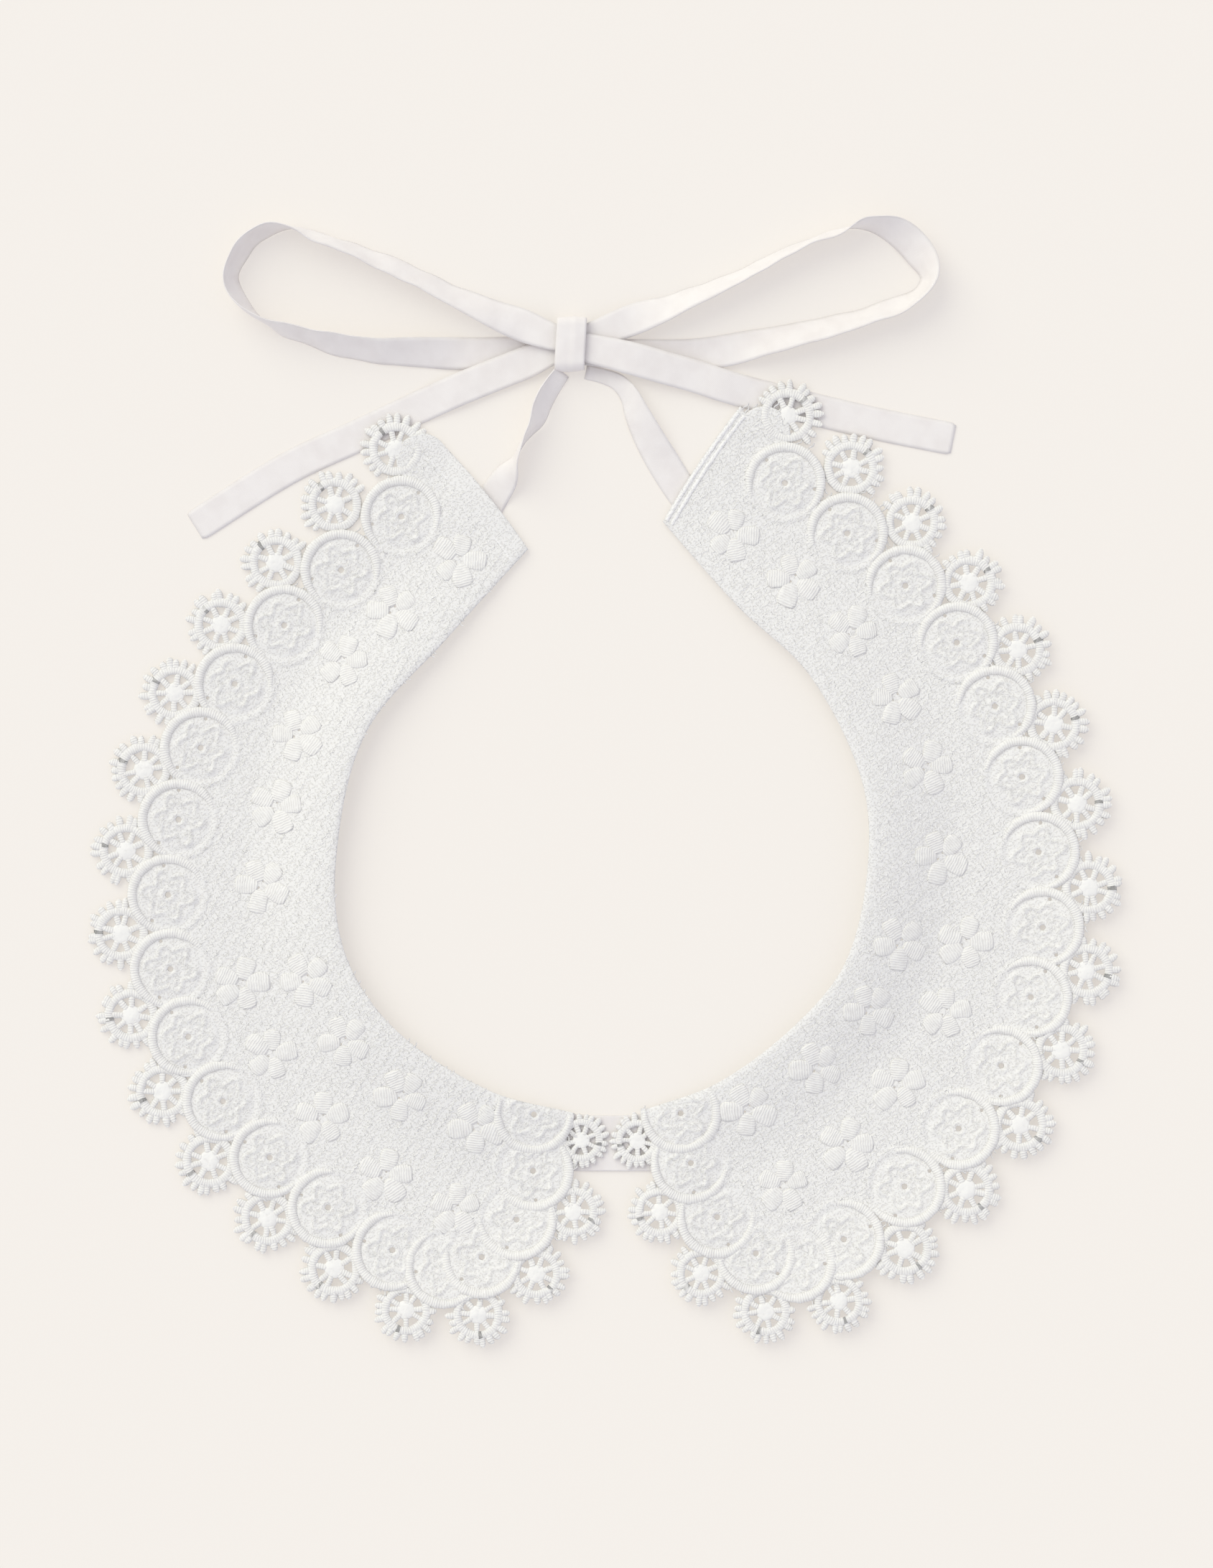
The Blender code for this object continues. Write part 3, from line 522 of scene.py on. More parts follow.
def makePetalTree():  # padded petals set round each flower's point
    add, given, turn, size = startTree("paddedPetals", petalSizes)
    pad = add("MeshUVSphere", {"Segments": 12, "Rings": 7, "Radius": 0.5})["Mesh"]
    doubled = add("Math", (given["Petal rise"], 2.0), operation="MULTIPLY")[0]
    reach = {"X": given["Petal length"], "Y": given["Petal width"], "Z": doubled}
    stretch = add("CombineXYZ", reach)[0]
    parts = add("SeparateXYZ", add("InputPosition")[:1])
    narrow = add("Math", (parts["X"], 0.36, 0.9), operation="MULTIPLY_ADD")[0]
    squared = []
    for axis in ("X", "Y"):  # fuller corners than an ellipse has
        part = parts[axis]
        twice = add("Math", (part, part), operation="MULTIPLY")[0]
        fuller = add("Math", (twice, -1.4, 1.35), operation="MULTIPLY_ADD")[0]
        squared.append(add("Math", (part, fuller), operation="MULTIPLY")[0])
    thin = add("Math", (squared[1], narrow), operation="MULTIPLY")[0]
    shaped = add("CombineXYZ", {"X": squared[0], "Y": thin, "Z": parts["Z"]})[0]
    shaped = add("VectorMath", (shaped, stretch), operation="MULTIPLY")[0]
    pad = add("SetPosition", {"Geometry": pad, "Position": shaped})[0]
    stored = {"Geometry": pad, "Name": "along", "Value": parts["X"]}
    pad = add("StoreNamedAttribute", stored, data_type="FLOAT")[0]
    inputs = (given["Petal length"], 0.5, given["Petal start"])
    middle = add("Math", inputs, operation="MULTIPLY_ADD")[0]
    middle = add("CombineXYZ", {"X": middle})[0]
    pad = add("Transform", {"Geometry": pad, "Translation": middle})[0]
    inputs = {0: given["Geometry"], "Amount": given["Petals"]}
    copies = add("DuplicateElements", inputs, domain="POINT")
    pitch = add("Math", (2 * math.pi, given["Petals"]), operation="DIVIDE")[0]
    angle = add("Math", (copies["Duplicate Index"], pitch, turn), operation="MULTIPLY_ADD")[0]
    loose = add("RandomValue", {2: -0.13, 3: 0.13, "Seed": given["Seed"]})[1]
    angle = add("Math", (angle, loose), operation="ADD")[0]
    varied = add("RandomValue", {2: 0.88, 3: 1.08, "Seed": 4})[1]
    varied = add("Math", (size, varied), operation="MULTIPLY")[0]
    shape = placeCopies(add, copies["Geometry"], pad, varied, angle)
    return endTree(add, shape, given, 1.0)


crinkleSizes = {
    "Thread length": 2.4,
    "Thread width": 0.5,
    "Sway": 0.26,
    "Unevenness": 0.5,
    "Seed": 31,
    "Finish": looseThread,
}


def makeCrinkleTree():  # a short swaying thread on each point, its ends tucked in
    add, given, turn, size = startTree("crinkledThreads", crinkleSizes)
    inputs = {"Start": (0, 0, 0), "Direction": (1, 0, 0), "Length": given["Thread length"]}
    line = add("CurvePrimitiveLine", inputs, mode="DIRECTION")[0]
    line = add("ResampleCurve", {"Curve": line, "Count": 5})[0]
    share = add("SplineParameter")["Factor"]
    around = add("Math", (share, 2 * math.pi), operation="MULTIPLY")[0]
    wave = add("Math", (around,), operation="SINE")[0]
    wave = add("Math", (wave, given["Sway"]), operation="MULTIPLY")[0]
    half = add("Math", (share, math.pi), operation="MULTIPLY")[0]
    arch = add("Math", (half,), operation="SINE")[0]
    arch = add("Math", (arch, 0.2, -0.24), operation="MULTIPLY_ADD")[0]
    push = add("CombineXYZ", {"Y": wave, "Z": arch})[0]
    line = add("SetPosition", {"Geometry": line, "Offset": push})[0]
    thread = makeTube(add, line, given["Thread width"], 3, 1.0)
    shape = placeCopies(add, given["Geometry"], thread, size, turn)
    return endTree(add, shape, given, 1.0)


crinkleTree = makeCrinkleTree()
wheelTree = makeWheelTree()
cordTree = makeCordTree()
petalTree = makePetalTree()
print("node trees made")

# The lace halves

layout = {
    "wheels": 18,
    "frontWheels": 4,  # the last few stand closer round the front point
    "frontPitch": 0.87,
    "frontScale": 0.92,
    "endScale": 0.8,
    "slide": {"left": 0.0, "right": -2.4},  # mm that the middle wheels lie further back
    "scallopRadius": 12.3,
    "scallopInset": 13.6,
    "backInsets": (16.4, 15.6, 14.6),
    "flowerTurn": 37.0,
    "hemSwell": 0.9,
    "neckRoll": 30.0,  # how far in from the neck edge the lace curls up
    "edgeRoll": 20.0,
    "wheelRise": 0.5,
    "overTape": 0.9,  # underside of the lace where a tape passes below it
    "tapeMargin": 1.6,
    "tapeFade": 13.0,
    "band": (-21.0, 22.0, -118.6, -96.0),  # what the fronts lie on: x, x, y, y
}


def planLace(half):
    side = -1 if half == "left" else 1
    steps = [1.0] * (layout["wheels"] - 1 - layout["frontWheels"])
    steps += [layout["frontPitch"]] * layout["frontWheels"]
    rows = wheelLine[half]
    pitch = distancesAlong(rows)[-1] / sum(steps)
    places = [pitch * sum(steps[:k]) for k in range(layout["wheels"])]
    slide = layout["slide"][half]
    places = [place + slide * math.sin(math.pi * place / places[-1]) for place in places]
    sizes = [1.0] * (layout["wheels"] - 5) + [layout["frontScale"]] * 4 + [layout["endScale"]]
    wheels = list(zip(framesOn(rows, places, side), sizes))
    back, front = endScallops[half]
    scallops = [((Vector(back[:2]), *wheels[0][0][1:]), back[2])]
    insets = layout["backInsets"] + (layout["scallopInset"],) * layout["wheels"]
    for (here, _), (there, _), inset in zip(wheels, wheels[1:], insets):
        forward = (there[0] - here[0]).normalized()
        outward = Vector((-forward.y, forward.x)) * side
        middle = (here[0] + there[0]) / 2 - outward * inset
        scallops.append(((middle, outward, forward), layout["scallopRadius"]))
    scallops.append(((Vector(front[:2]), Vector((0, -1)), Vector((-side, 0))), front[2]))
    total = distancesAlong(neckLine[half])[-1]
    edges = framesOn(neckLine[half], [total * share for share, away in flowerPlaces], side)
    flowers = [edge[0] + edge[1] * away for edge, (share, away) in zip(edges, flowerPlaces)]
    neck = resampled(neckLine[half], 120)
    start, end = Vector(neck[0][:2]), Vector(backCorner[half])
    along = (end - start).normalized()
    inwards = Vector((along.y, -along.x)) * side
    return {
        "side": side,
        "wheels": wheels,
        "scallops": scallops,
        "flowers": flowers,
        "neck": neck,
        "edge": resampled(rows, 60),
        "strips": [resampled(tapeRuns[run], 40) for run in passesUnder[half]],
        "hem": (start, end, inwards),
    }


def underside(plan, points):  # height of the lace's plain underside over the floor
    away, side, lift = nearestOn(plan["neck"], points)
    height = lift * falling(away / layout["neckRoll"])
    away, side, lift = nearestOn(plan["edge"], points)
    inside = np.where(side * plan["side"] > 0, -1, 1)
    height += lift * falling(inside * away / layout["edgeRoll"])
    for strip in plan["strips"]:
        away = nearestOn(strip, points)[0] - 5.0 - layout["tapeMargin"]
        height = np.maximum(height, layout["overTape"] * falling(away / layout["tapeFade"]))
    left, right, low, high = layout["band"]
    x, y = points.T
    away = np.hypot(
        np.maximum(np.maximum(left - x, x - right), 0), np.maximum(np.maximum(low - y, y - high), 0)
    )
    over = layout["overTape"] * falling((away - layout["tapeMargin"]) / layout["tapeFade"])
    return np.maximum(height, over)


groundSizes = {
    "wall": 0.9,
    "pitch": 0.64,  # between the points of the worked side
    "underPitch": 3.0,
    "discSides": 96,
    "eyelet": 0.9,
    "pinHole": 0.55,
    "pinPlaces": ((62.0, 9.3), (-78.0, 9.0)),  # angle, radius
    "discRise": 0.28,
    "rosette": 6.4,
    "rosetteWave": 1.3,
    "rosetteRise": 0.7,
    "ruffle": 0.08,
}


def relief(plan, points):  # height of the work over the plain top of the lace
    ruffle = groundSizes["ruffle"]
    height = unevenness(points, 1.6, 3.0) * ruffle
    height += unevenness(points, 3.4, 9.0) * ruffle * 1.6
    for k, (spot, radius) in enumerate(plan["scallops"]):
        if not k:
            continue  # the first is no more than the rounded corner
        offset = points - np.array(spot[0])
        away = np.hypot(*offset.T)
        angle = np.arctan2(offset @ np.array(spot[2]), offset @ np.array(spot[1]))
        inside = away < radius
        wave = np.cos(6 * angle + k) * groundSizes["rosetteWave"] + 0.5 * np.sin(4 * angle + 2 * k)
        line = (groundSizes["rosette"] + wave) * radius / layout["scallopRadius"]
        rise = groundSizes["rosetteRise"]
        work = rise * np.exp(-(((away - line) / 0.65) ** 2))
        work += rise * 0.8 * np.exp(-(((away - 1.8) / 0.55) ** 2))
        work += rise * 0.7 * np.exp(-(((away - line + 2.6) / 0.5) ** 2)) * (away > 2.8)
        dish = groundSizes["discRise"] - 0.3 * np.exp(-(((away - radius + 2.6) / 0.9) ** 2))
        height[inside] = (height * 0.5 + dish + work)[inside]
    start, end, inwards = plan["hem"]
    depth = (points - np.array(start)) @ np.array(inwards)
    if plan["side"] < 0:  # a smooth turned hem
        hemmed = 1 - falling((depth - 5.2) / 1.2)
        height = height * hemmed + (1 - hemmed) * 0.35
    height -= 0.35 * falling(nearestOn(plan["neck"], points)[0] / 1.4)
    return height


def hexGrid(low, high, pitch):
    rowPitch = pitch * math.sqrt(3) / 2
    found = []
    for j in range(int((high[1] - low[1]) / rowPitch) + 1):
        x = np.arange(low[0] + pitch / 2 * (j % 2), high[0], pitch)
        found.append(np.column_stack([x, np.full(len(x), low[1] + j * rowPitch)]))
    return np.concatenate(found)


def finer(run, pitch):  # the same closed outline with more points along its sides
    found = []
    for here, there in zip(run, run[1:] + run[:1]):
        count = max(1, round((there - here).length / pitch))
        found += [here.lerp(there, k / count) for k in range(count)]
    return found


def openEdges(triangles):
    directed = {(t[i], t[(i + 1) % 3]) for t in triangles for i in range(3)}
    return [(a, b) for a, b in directed if (b, a) not in directed]


def onLace(plan, points, margin):  # on the ground, and clear of the lines drawn on it
    panel, beyond = np.array(plan["panel"]), np.array(plan["beyond"])
    kept = insideLoop(points, panel, np.roll(panel, -1, 0))
    near = nearestOn([(*p, 0) for p in plan["panel"] + plan["panel"][:1]], points)[0] < margin
    for spot, radius in plan["scallops"]:
        away = np.hypot(*(points - np.array(spot[0])).T)
        kept |= away < radius
        near |= abs(away - radius) < margin
    return kept & ~near & ~insideLoop(points, beyond, np.roll(beyond, -1, 0))


def makeGround(half, plan):
    faces, kinds, corners = [], [], []

    def addFace(kind, run):
        area = sum(a.x * b.y - b.x * a.y for a, b in zip(run, run[1:] + run[:1]))
        faces.append(list(range(len(corners), len(corners) + len(run))))
        corners.extend(run if area > 0 else run[::-1])
        kinds.append(kind)

    neck = [Vector(row[:2]) for row in plan["neck"]]
    centres = [spot[0] for spot, radius in plan["scallops"][1:]]
    start, end, inwards = plan["hem"]
    back = []
    for k in range(40):
        share = k / 40
        swell = layout["hemSwell"] * 4 * share * (1 - share)
        back.append(end.lerp(start, share) - inwards * swell)
    plan["panel"] = neck + centres[::-1] + back
    addFace("panel", finer(plan["panel"], 0.8))
    front = neck[len(neck) // 2 :]
    plan["beyond"] = front + [Vector((0, front[-1].y)), Vector((0, front[0].y))]
    addFace("beyond", finer(plan["beyond"], 0.8))
    for k, (spot, radius) in enumerate(plan["scallops"]):
        sides = groundSizes["discSides"]
        addFace("scallop", [polar(spot, radius, 360 * i / sides) for i in range(sides)])
        over = plan["scallops"][k + 1] if k + 1 < len(plan["scallops"]) else None
        holes = [(spot[0], groundSizes["eyelet"])] if k else []
        for angle, away in groundSizes["pinPlaces"] if k and over else ():
            holes.append((polar(spot, away, angle), groundSizes["pinHole"]))
        for centre, size in holes:
            if not over or (centre - over[0][0]).length > over[1] + size:
                addFace("hole", [polar((centre, *spot[1:]), size, 36 * i) for i in range(10)])
    for spot in plan["flowers"]:  # pin holes left between the petals
        for angle in (70.0, 214.0):
            centre = polar((spot, Vector((1, 0)), Vector((0, 1))), 1.3, angle)
            ring = (centre, Vector((1, 0)), Vector((0, 1)))
            addFace("hole", [polar(ring, 0.38, 60 * i) for i in range(6)])

    low, high = np.min(corners, 0) - 1, np.max(corners, 0) + 1
    fine = hexGrid(low, high, groundSizes["pitch"])
    fine = fine[onLace(plan, fine, groundSizes["pitch"] * 0.35)]
    cut = delaunay_2d_cdt(corners + [Vector(p) for p in fine], [], faces, 0, 0.01, True)
    top = []
    for triangle, sources in zip(cut[2], cut[5]):
        found = {kinds[k] for k in sources}
        if found & {"panel", "scallop"} and not found & {"beyond", "hole"}:
            top.append(triangle)
    flat = np.array([p[:] for p in cut[0]])
    rim = openEdges(top)
    starts, ends = flat[[a for a, b in rim]], flat[[b for a, b in rim]]

    coarse = hexGrid(low, high, groundSizes["underPitch"])
    coarse = coarse[insideLoop(coarse, starts, ends)]
    gap = np.hypot(*(coarse[:, None] - starts[None]).transpose(2, 0, 1)).min(1)
    coarse = coarse[gap > 1.2]
    rimPoints = sorted({k for pair in rim for k in pair})
    place = {k: n for n, k in enumerate(rimPoints)}
    lowPoints = [Vector(flat[k]) for k in rimPoints] + [Vector(p) for p in coarse]
    lines = [(place[a], place[b]) for a, b in rim]
    under = delaunay_2d_cdt(lowPoints, lines, [], 0, 0.0001, True)
    source = [min(ids) for ids in under[3]]
    middles = np.array([np.mean([under[0][k][:] for k in t], 0) for t in under[2]])
    held = insideLoop(middles, starts, ends)
    bottom = [[source[k] for k in t] for t, keep in zip(under[2], held) if keep]

    used = sorted({k for triangle in top for k in triangle})
    renamed = {k: n for n, k in enumerate(used)}
    topXy = flat[used]
    topZ = underside(plan, topXy) + groundSizes["wall"] + relief(plan, topXy)
    lowXy = np.array([p[:] for p in lowPoints])
    lowZ = underside(plan, lowXy)
    count = len(used)
    all3 = np.concatenate([np.column_stack([topXy, topZ]), np.column_stack([lowXy, lowZ])])
    joined = [[renamed[k] for k in triangle] for triangle in top]
    joined += [[count + k for k in reversed(triangle)] for triangle in bottom]
    joined += [[renamed[b], renamed[a], count + place[a], count + place[b]] for a, b in rim]
    mesh = bpy.data.meshes.new("ground_" + half)
    mesh.from_pydata((all3 * mm).tolist(), [], joined)
    mesh.materials.append(guipure)
    mesh.shade_smooth()
    print("ground", half, len(top), "worked and", len(bottom), "plain triangles")
    first, second, third = flat[np.array(top)].transpose(1, 0, 2)
    (ux, uy), (vx, vy) = (second - first).T, (third - first).T
    return placeMesh("ground_" + half, mesh), float(abs(ux * vy - uy * vx).sum() / 2)


def placeMesh(name, mesh):
    mesh.name = name
    piece = bpy.data.objects.new(name, mesh)
    collection.objects.link(piece)
    return piece


def laidOn(name, mesh, plan, rise, onWork=False):  # lifts flat work to where the lace lies
    spots = np.zeros(len(mesh.vertices) * 3)
    mesh.vertices.foreach_get("co", spots)
    spots = spots.reshape(-1, 3)
    spots[:, 2] += underside(plan, spots[:, :2]) + rise
    if onWork:
        spots[:, 2] += relief(plan, spots[:, :2])
    spots[:, 2] = np.maximum(spots[:, 2], 0.04)
    mesh.vertices.foreach_set("co", (spots * mm).ravel())
    mesh.update()
    return placeMesh(name, mesh)


cordPlaces = {"inset": 1.25, "front": 100.0, "back": -150.0, "gap": 0.2, "rise": 0.95, "taper": 7.0}


def makeCords(half, plan):
    points, edges, sizes = [], [], []
    for k, (spot, radius) in enumerate(plan["scallops"]):
        over = plan["scallops"][k + 1] if k + 1 < len(plan["scallops"]) else None
        run = []
        angles = np.arange(cordPlaces["back"], cordPlaces["front"] + 1, 4.0) if k else ()
        for angle in angles:
            point = polar(spot, radius - cordPlaces["inset"], angle)
            clear = not over or (point - over[0][0]).length > over[1] + cordPlaces["gap"]
            away, side, lift = nearestOn(plan["neck"], np.array([point[:]]))
            if clear and side[0] * plan["side"] > 0 and away[0] > 1.0:
                run.append(point)
        if not run:
            continue
        pitch = (run[1] - run[0]).length
        for n, point in enumerate(run):
            last = min(n, len(run) - 1 - n) * pitch / cordPlaces["taper"]
            sizes.append(0.45 + 0.55 * min(last, 1.0))
            if n:
                edges.append((len(points) - 1, len(points)))
            points.append(point)
    carrier = makeCarrier("cordCarrier", points, edges, {"size": sizes})
    return laidOn("cords_" + half, growShape(cordTree, carrier, cordSizes), plan, cordPlaces["rise"])


def makeWheels(half, plan):
    turns = [math.atan2(spot[1].y, spot[1].x) for spot, size in plan["wheels"]]
    points = [spot[0] for spot, size in plan["wheels"]]
    sizes = [size for spot, size in plan["wheels"]]
    carrier = makeCarrier("wheelCarrier", points, [], {"turn": turns, "size": sizes})
    mesh = growShape(wheelTree, carrier, wheelSizes)
    return laidOn("wheels_" + half, mesh, plan, layout["wheelRise"])


def makePetals(half, plan):
    turns = [math.radians(layout["flowerTurn"] * k) for k in range(len(plan["flowers"]))]
    sizes = [1.0] * len(plan["flowers"])
    carrier = makeCarrier("petalCarrier", plan["flowers"], [], {"turn": turns, "size": sizes})
    mesh = growShape(petalTree, carrier, petalSizes)
    return laidOn("petals_" + half, mesh, plan, groundSizes["wall"])


scatter = {
    "pitch": 1.6,  # mm; the real net is finer
    "slants": (52.0, -47.0),
    "loose": 0.13,
    "jitter": 0.12,
    "seed": 8,
    "clearOf": {"neck": 1.5, "flower": 5.0, "disc": -1.0, "hem": {"left": 6.0, "right": 0.0}},
}


def makeThreads(half, plan, ground):
    chance = np.random.default_rng(scatter["seed"])
    corners = np.array([corner[:2] for corner in ground.bound_box]) / mm
    spots = hexGrid(corners.min(0), corners.max(0), scatter["pitch"])
    slants = np.radians(np.resize(scatter["slants"], len(spots)))
    spots += chance.uniform(-scatter["jitter"], scatter["jitter"], spots.shape)
    clear = scatter["clearOf"]
    onGround = onLace(plan, spots, 0.0) & (nearestOn(plan["neck"], spots)[0] > clear["neck"])
    rounds = [(flower, clear["flower"]) for flower in plan["flowers"]]
    rounds += [(spot[0], radius + clear["disc"]) for spot, radius in plan["scallops"][1:]]
    for middle, radius in rounds:
        onGround &= np.hypot(*(spots - np.array(middle)).T) > radius
    start, end, inwards = plan["hem"]
    onGround &= (spots - np.array(start)) @ np.array(inwards) > clear["hem"][half]
    spots = spots[onGround]
    turns = slants[onGround] + chance.normal(0, scatter["loose"], len(spots))
    sizes = chance.uniform(0.8, 1.2, len(spots))
    carrier = makeCarrier("threadCarrier", spots, [], {"turn": turns, "size": sizes})
    mesh = growShape(crinkleTree, carrier, crinkleSizes)
    return laidOn("threads_" + half, mesh, plan, groundSizes["wall"], True)


hemStitch = {
    "left": ((6.2, 0.9),), "right": ((0.9, 1.3), (2.9, 1.3)),  # distance in, width
    "ends": (0.02, 0.95),
}


def makeHemLines(half, plan):  # raised lines beside the turned end
    start, end, inwards = plan["hem"]
    points, edges, sizes = [], [], []
    for away, width in hemStitch[half]:
        for k in range(41):
            low, high = hemStitch["ends"]
            share = low + (high - low) * k / 40
            swell = layout["hemSwell"] * 4 * share * (1 - share)
            if k:
                edges.append((len(points) - 1, len(points)))
            points.append(start.lerp(end, share) + inwards * (away - swell))
            sizes.append(width / cordSizes["Width"])
    carrier = makeCarrier("hemCarrier", points, edges, {"size": sizes})
    mesh = growShape(cordTree, carrier, dict(cordSizes, Sides=6, Finish=looseThread))
    return laidOn("hem_" + half, mesh, plan, groundSizes["wall"])


def declare(piece, node):
    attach(piece, "root")
    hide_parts(node)


for half in ("left", "right"):
    plan = planLace(half)
    node = "lace_" + half
    ground, area = makeGround(half, plan)
    work = [
        makeCords(half, plan), makeWheels(half, plan), makePetals(half, plan),
        makeHemLines(half, plan), makeThreads(half, plan, ground),
    ]
    for piece in [ground] + work:
        declare(piece, node)
    print("lace", half, [(piece.name, len(piece.data.polygons)) for piece in work])

# Ties and bow

tapeSizes = {
    "wall": 0.38,
    "step": 1.3,
    "across": 8,
    "room": 0.3,
    "cup": 0.35,
    "crumple": 0.5,
    "crumpleLength": 8.5,
}


def makeRibbon(node, strips, acrossMm, alongMm, wall):
    # cloth from rows of points along it, with a weave map in millimetres; its thickness
    # comes from Solidify, then it is a plain mesh again
    rows, count = len(strips), len(strips[0])
    faces = [
        [k * count + j, k * count + j + 1, (k + 1) * count + j + 1, (k + 1) * count + j]
        for k in range(rows - 1) for j in range(count - 1)
    ]
    mesh = bpy.data.meshes.new(node)
    mesh.from_pydata([Vector(p) * mm for strip in strips for p in strip], [], faces)
    weave = mesh.uv_layers.new(name="weave")
    for loop in mesh.loops:
        k, j = divmod(loop.vertex_index, count)
        weave.data[loop.index].uv = (acrossMm[k][j], alongMm[k])
    mesh.materials.append(lawn)
    mesh.shade_smooth()
    piece = placeMesh(node + "_cloth", mesh)
    solid = piece.modifiers.new("wall", "SOLIDIFY")
    solid.thickness = wall * mm
    solid.offset = 0.0
    view = bpy.context.evaluated_depsgraph_get()
    mesh = bpy.data.meshes.new_from_object(piece.evaluated_get(view))
    piece.modifiers.clear()
    piece.data = mesh
    mesh.name = piece.name
    declare(piece, node)
    return piece


def makeTape(name, seed):
    rows = tapeRuns[name]
    length = distancesAlong(rows)[-1]
    count = round(length / tapeSizes["step"])
    sections = resampled(rows, count)
    strips, acrossMm, alongMm = [], [], []
    for k, (x, y, width, lean, lift) in enumerate(sections):
        before, after = sections[max(k - 1, 0)], sections[min(k + 1, count - 1)]
        along = Vector((after[0] - before[0], after[1] - before[1], 0)).normalized()
        turn = math.radians(min(max(lean, 0), 180))
        across = Vector((along.y, -along.x, 0)) * math.cos(turn) + Vector((0, 0, math.sin(turn)))
        facing = across.cross(along)
        height = max(lift, 0) + abs(math.cos(turn)) * tapeSizes["wall"] / 2
        height += math.sin(turn) * (width / 2 + tapeSizes["room"])
        loose = math.sin(turn) ** 2
        if "tail" in name and k >= count - 2:  # worn corners at the cut end
            width *= 0.98 if k < count - 1 else 0.86
        strip = []
        for j in range(tapeSizes["across"] + 1):
            share = j / tapeSizes["across"] - 0.5
            bend = k * tapeSizes["step"] / tapeSizes["crumpleLength"]
            spot = Vector((bend, share * 1.5, seed))
            push = noise.noise(spot) * tapeSizes["crumple"] * (0.2 + 2.6 * loose)
            push += tapeSizes["cup"] * (1 - 4 * share * share) * loose
            point = Vector((x, y, height)) + across * (share * width) + facing * push
            point.z = max(point.z, tapeSizes["wall"] / 2 + 0.02)
            strip.append(point)
        strips.append(strip)
        acrossMm.append([width * j / tapeSizes["across"] for j in range(tapeSizes["across"] + 1)])
        alongMm.append(length * k / (count - 1))
    return makeRibbon(name, strips, acrossMm, alongMm, tapeSizes["wall"]), length


knotSizes = {
    "left": -15.5,
    "right": -6.4,
    "front": 126.3,
    "back": 142.7,
    "height": 6.2,
    "wall": 0.5,
    "rounding": 2.6,
    "waist": 0.4,
    "across": 12,
}


def makeKnot():  # one turn of tape round the crossing, pulled snug at its two edges
    inset = knotSizes["rounding"]
    middle = (knotSizes["front"] + knotSizes["back"]) / 2
    half = (knotSizes["back"] - knotSizes["front"]) / 2
    centre, width = (knotSizes["left"] + knotSizes["right"]) / 2, knotSizes["right"] - knotSizes["left"]
    high, waistAt = knotSizes["height"] - inset, knotSizes["height"] / 2
    corners = ((half - inset, high), (inset - half, high), (inset - half, inset), (half - inset, inset))
    ring = []
    for quarter, (y, z) in enumerate(corners):
        for k in range(9):
            turn = math.radians(quarter * 90 + k * 90 / 8)
            ring.append(Vector((y + inset * math.cos(turn), z + inset * math.sin(turn))))
    strips, acrossMm, alongMm = [], [], []
    length = 0.0
    across = knotSizes["across"]
    for k, spot in enumerate(ring + ring[:1]):
        if k:
            length += (spot - ring[k - 1]).length
        strip = []
        for j in range(across + 1):
            share = j / across * 2 - 1
            crease = noise.noise(Vector((share * 2.4, spot.x / 5, spot.y / 4 + 7)))
            waist = knotSizes["waist"] * share**2 + 0.3 * crease
            y = spot.x * (1 - waist / half)
            z = waistAt + (spot.y - waistAt) * (1 - waist / 4)
            x = centre + share * width / 2 + 0.35 * math.sin(spot.x / 5)
            strip.append((x, middle + y, max(z, knotSizes["wall"] / 2)))
        strips.append(strip)
        acrossMm.append([width * j / across for j in range(across + 1)])
        alongMm.append(length)
    return makeRibbon("knot_wrap", strips, acrossMm, alongMm, knotSizes["wall"]), length


bandSizes = {
    "left": -21.0,
    "right": 22.0,
    "top": -101.6,
    "bottom": -118.6,
    "sideRise": 2.4,
    "wall": 0.5,
    "height": 0.34,
    "turned": 5.0,  # width of the turned edge, and how much higher it lies
    "turnedRise": 0.16,
    "ruffle": 0.12,
    "across": 30,
    "along": 60,
}


def makeNeckband():  # plain cotton, its lower edge turned up
    strips, acrossMm, alongMm = [], [], []
    for k in range(bandSizes["along"] + 1):
        share = k / bandSizes["along"]
        x = bandSizes["left"] + (bandSizes["right"] - bandSizes["left"]) * share
        top = bandSizes["top"] + bandSizes["sideRise"] * (2 * share - 1) ** 2
        strip, across = [], []
        for j in range(bandSizes["across"] + 1):
            y = bandSizes["bottom"] + (top - bandSizes["bottom"]) * j / bandSizes["across"]
            turned = float(falling((y - bandSizes["bottom"] - bandSizes["turned"]) / 0.8))
            z = bandSizes["height"] + bandSizes["turnedRise"] * turned
            z += bandSizes["ruffle"] * noise.noise(Vector((x / 4, y / 4, 1.0)))
            strip.append((x, y, z))
            across.append(y)
        strips.append(strip)
        acrossMm.append(across)
        alongMm.append(x)
    return makeRibbon("neckband", strips, acrossMm, alongMm, bandSizes["wall"])


for number, name in enumerate(tapeRuns):
    tape, length = makeTape(name, number * 5.3)
knot, length = makeKnot()
band = makeNeckband()
print("ties, knot and neckband made")

# Floor, light and camera

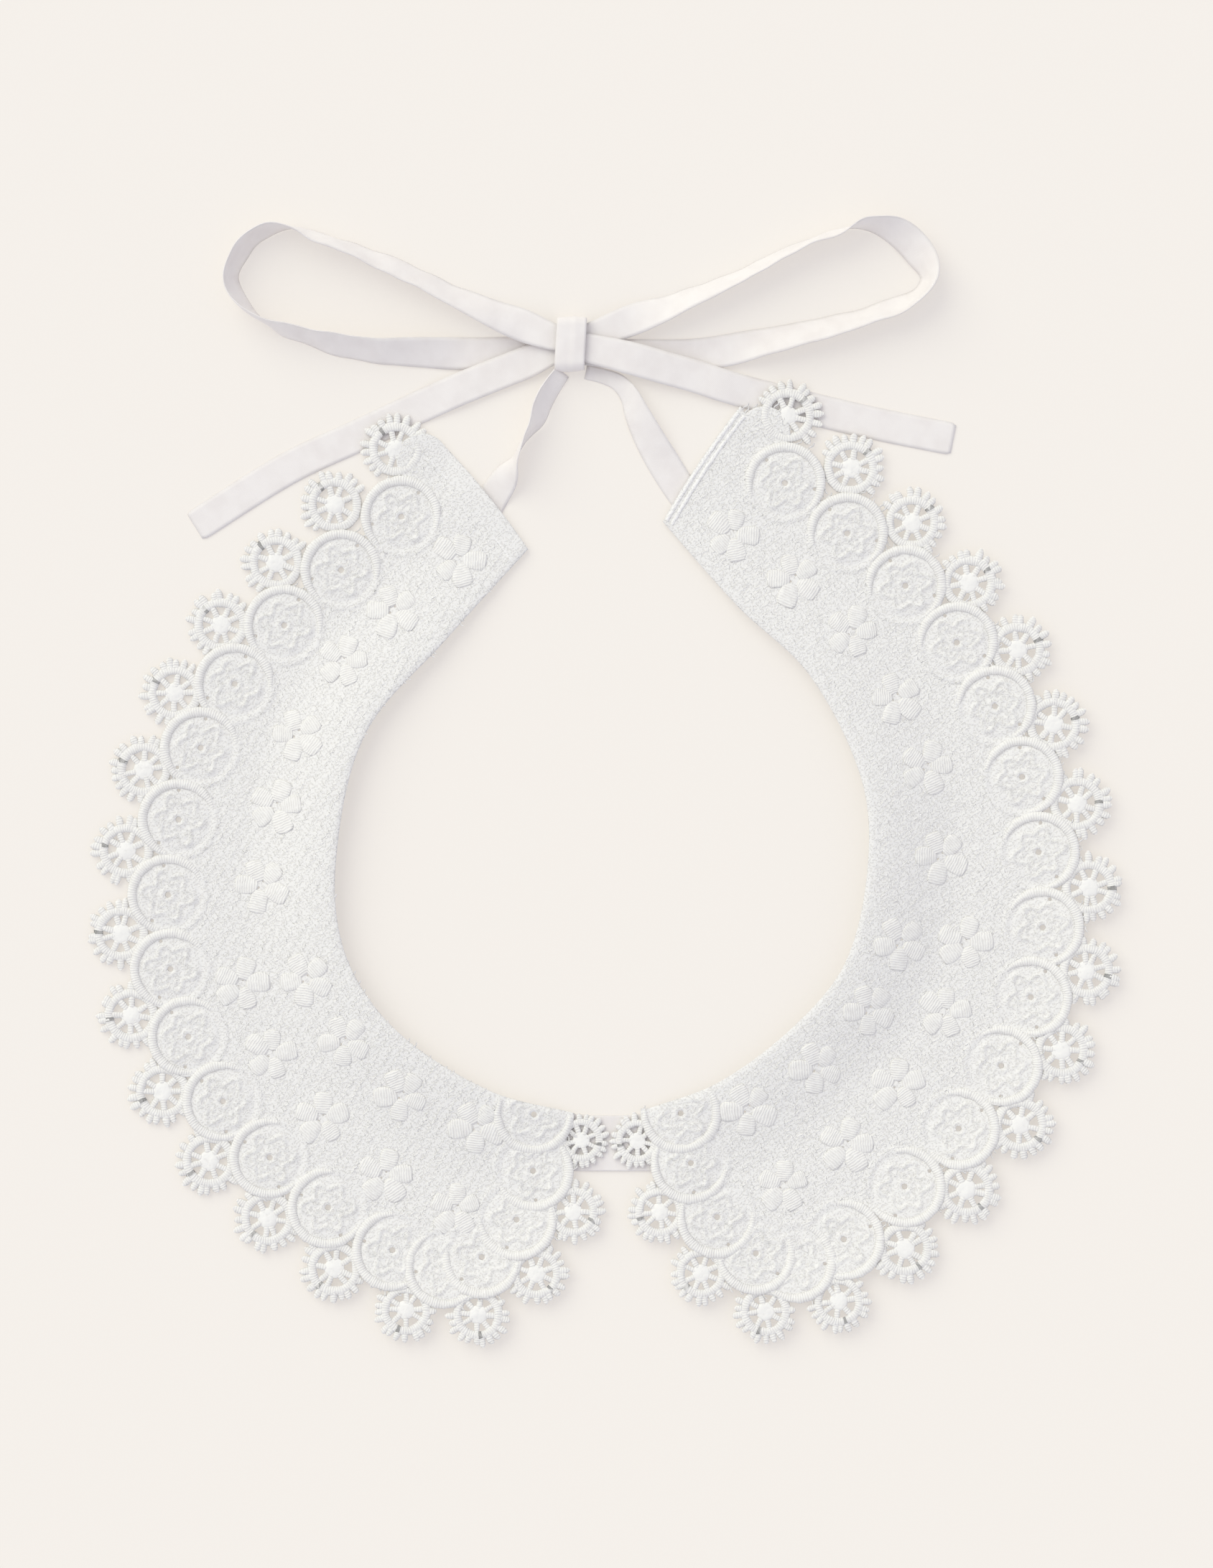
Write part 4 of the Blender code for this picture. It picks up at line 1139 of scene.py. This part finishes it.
studio = {
    "floor": "#C3BFBA",  # as lit from above; with the paper's painted light it comes to #F5F0EA
    "floorPaintedGlow": "#F5F0EA",  # painted light: the paper itself emits this colour, standing in for light from below, which keeps the shadows faint
    "paintedGlow": 0.4,
    "fill": 0.74,
    "fillColour": (1.0, 1.0, 1.08, 1.0),
    "key": 1.30,  # irradiance, W/m2
    "keyColour": (1.0, 1.0, 0.80),
    "keyFrom": (-0.50, 0.55, 0.62),
    "keySpread": 55.0,  # degrees across, as a large soft box seen from the table
    "distance": 1.3,  # metres from camera to floor
    "framed": 480.5 * mm,  # height of floor in the picture
}

floorMesh = bpy.data.meshes.new("floor")
floorMesh.from_pydata([(-3, -3, 0), (3, -3, 0), (3, 3, 0), (-3, 3, 0)], [], [(0, 1, 2, 3)])
floor = placeMesh("floor", floorMesh)
paper, add, paperShader = startMaterial("paperBackdrop", 0.95, 0.0)  # matt studio paper
fibre = add("TexNoise", {"Vector": add("TexCoord")["Object"], "Scale": 900.0})["Fac"]
finishShader(paperShader, fibre, 0.02, fibre, studio["floor"], studio["floor"])
# painted light: the paper emits light of its own, which fills the shadows on the floor and under the
# lace
paperShader.inputs["Emission Color"].default_value = linear(studio["floorPaintedGlow"])
paperShader.inputs["Emission Strength"].default_value = studio["paintedGlow"]
floorMesh.materials.append(paper)

world = bpy.data.worlds.new("studio")
bpy.context.scene.world = world
world.use_nodes = True
sky = world.node_tree.nodes["Background"]
sky.inputs["Color"].default_value = studio["fillColour"]
sky.inputs["Strength"].default_value = studio["fill"]

keyLight = bpy.data.lights.new("key", "SUN")
keyLight.energy = studio["key"]
keyLight.color = studio["keyColour"]
keyLight.angle = math.radians(studio["keySpread"])
key = bpy.data.objects.new("key", keyLight)
key.location = studio["keyFrom"]
key.rotation_euler = (-Vector(studio["keyFrom"])).to_track_quat("-Z", "Y").to_euler()
collection.objects.link(key)

lens = bpy.data.cameras.new("camera")
lens.sensor_fit = "VERTICAL"
lens.sensor_height = 36.0
lens.lens = 36.0 * studio["distance"] / studio["framed"]
camera = bpy.data.objects.new("camera", lens)
camera.location = (0, 0, studio["distance"])
collection.objects.link(camera)
bpy.context.scene.camera = camera
bpy.context.scene.view_settings.view_transform = "Standard"

print("scene done")
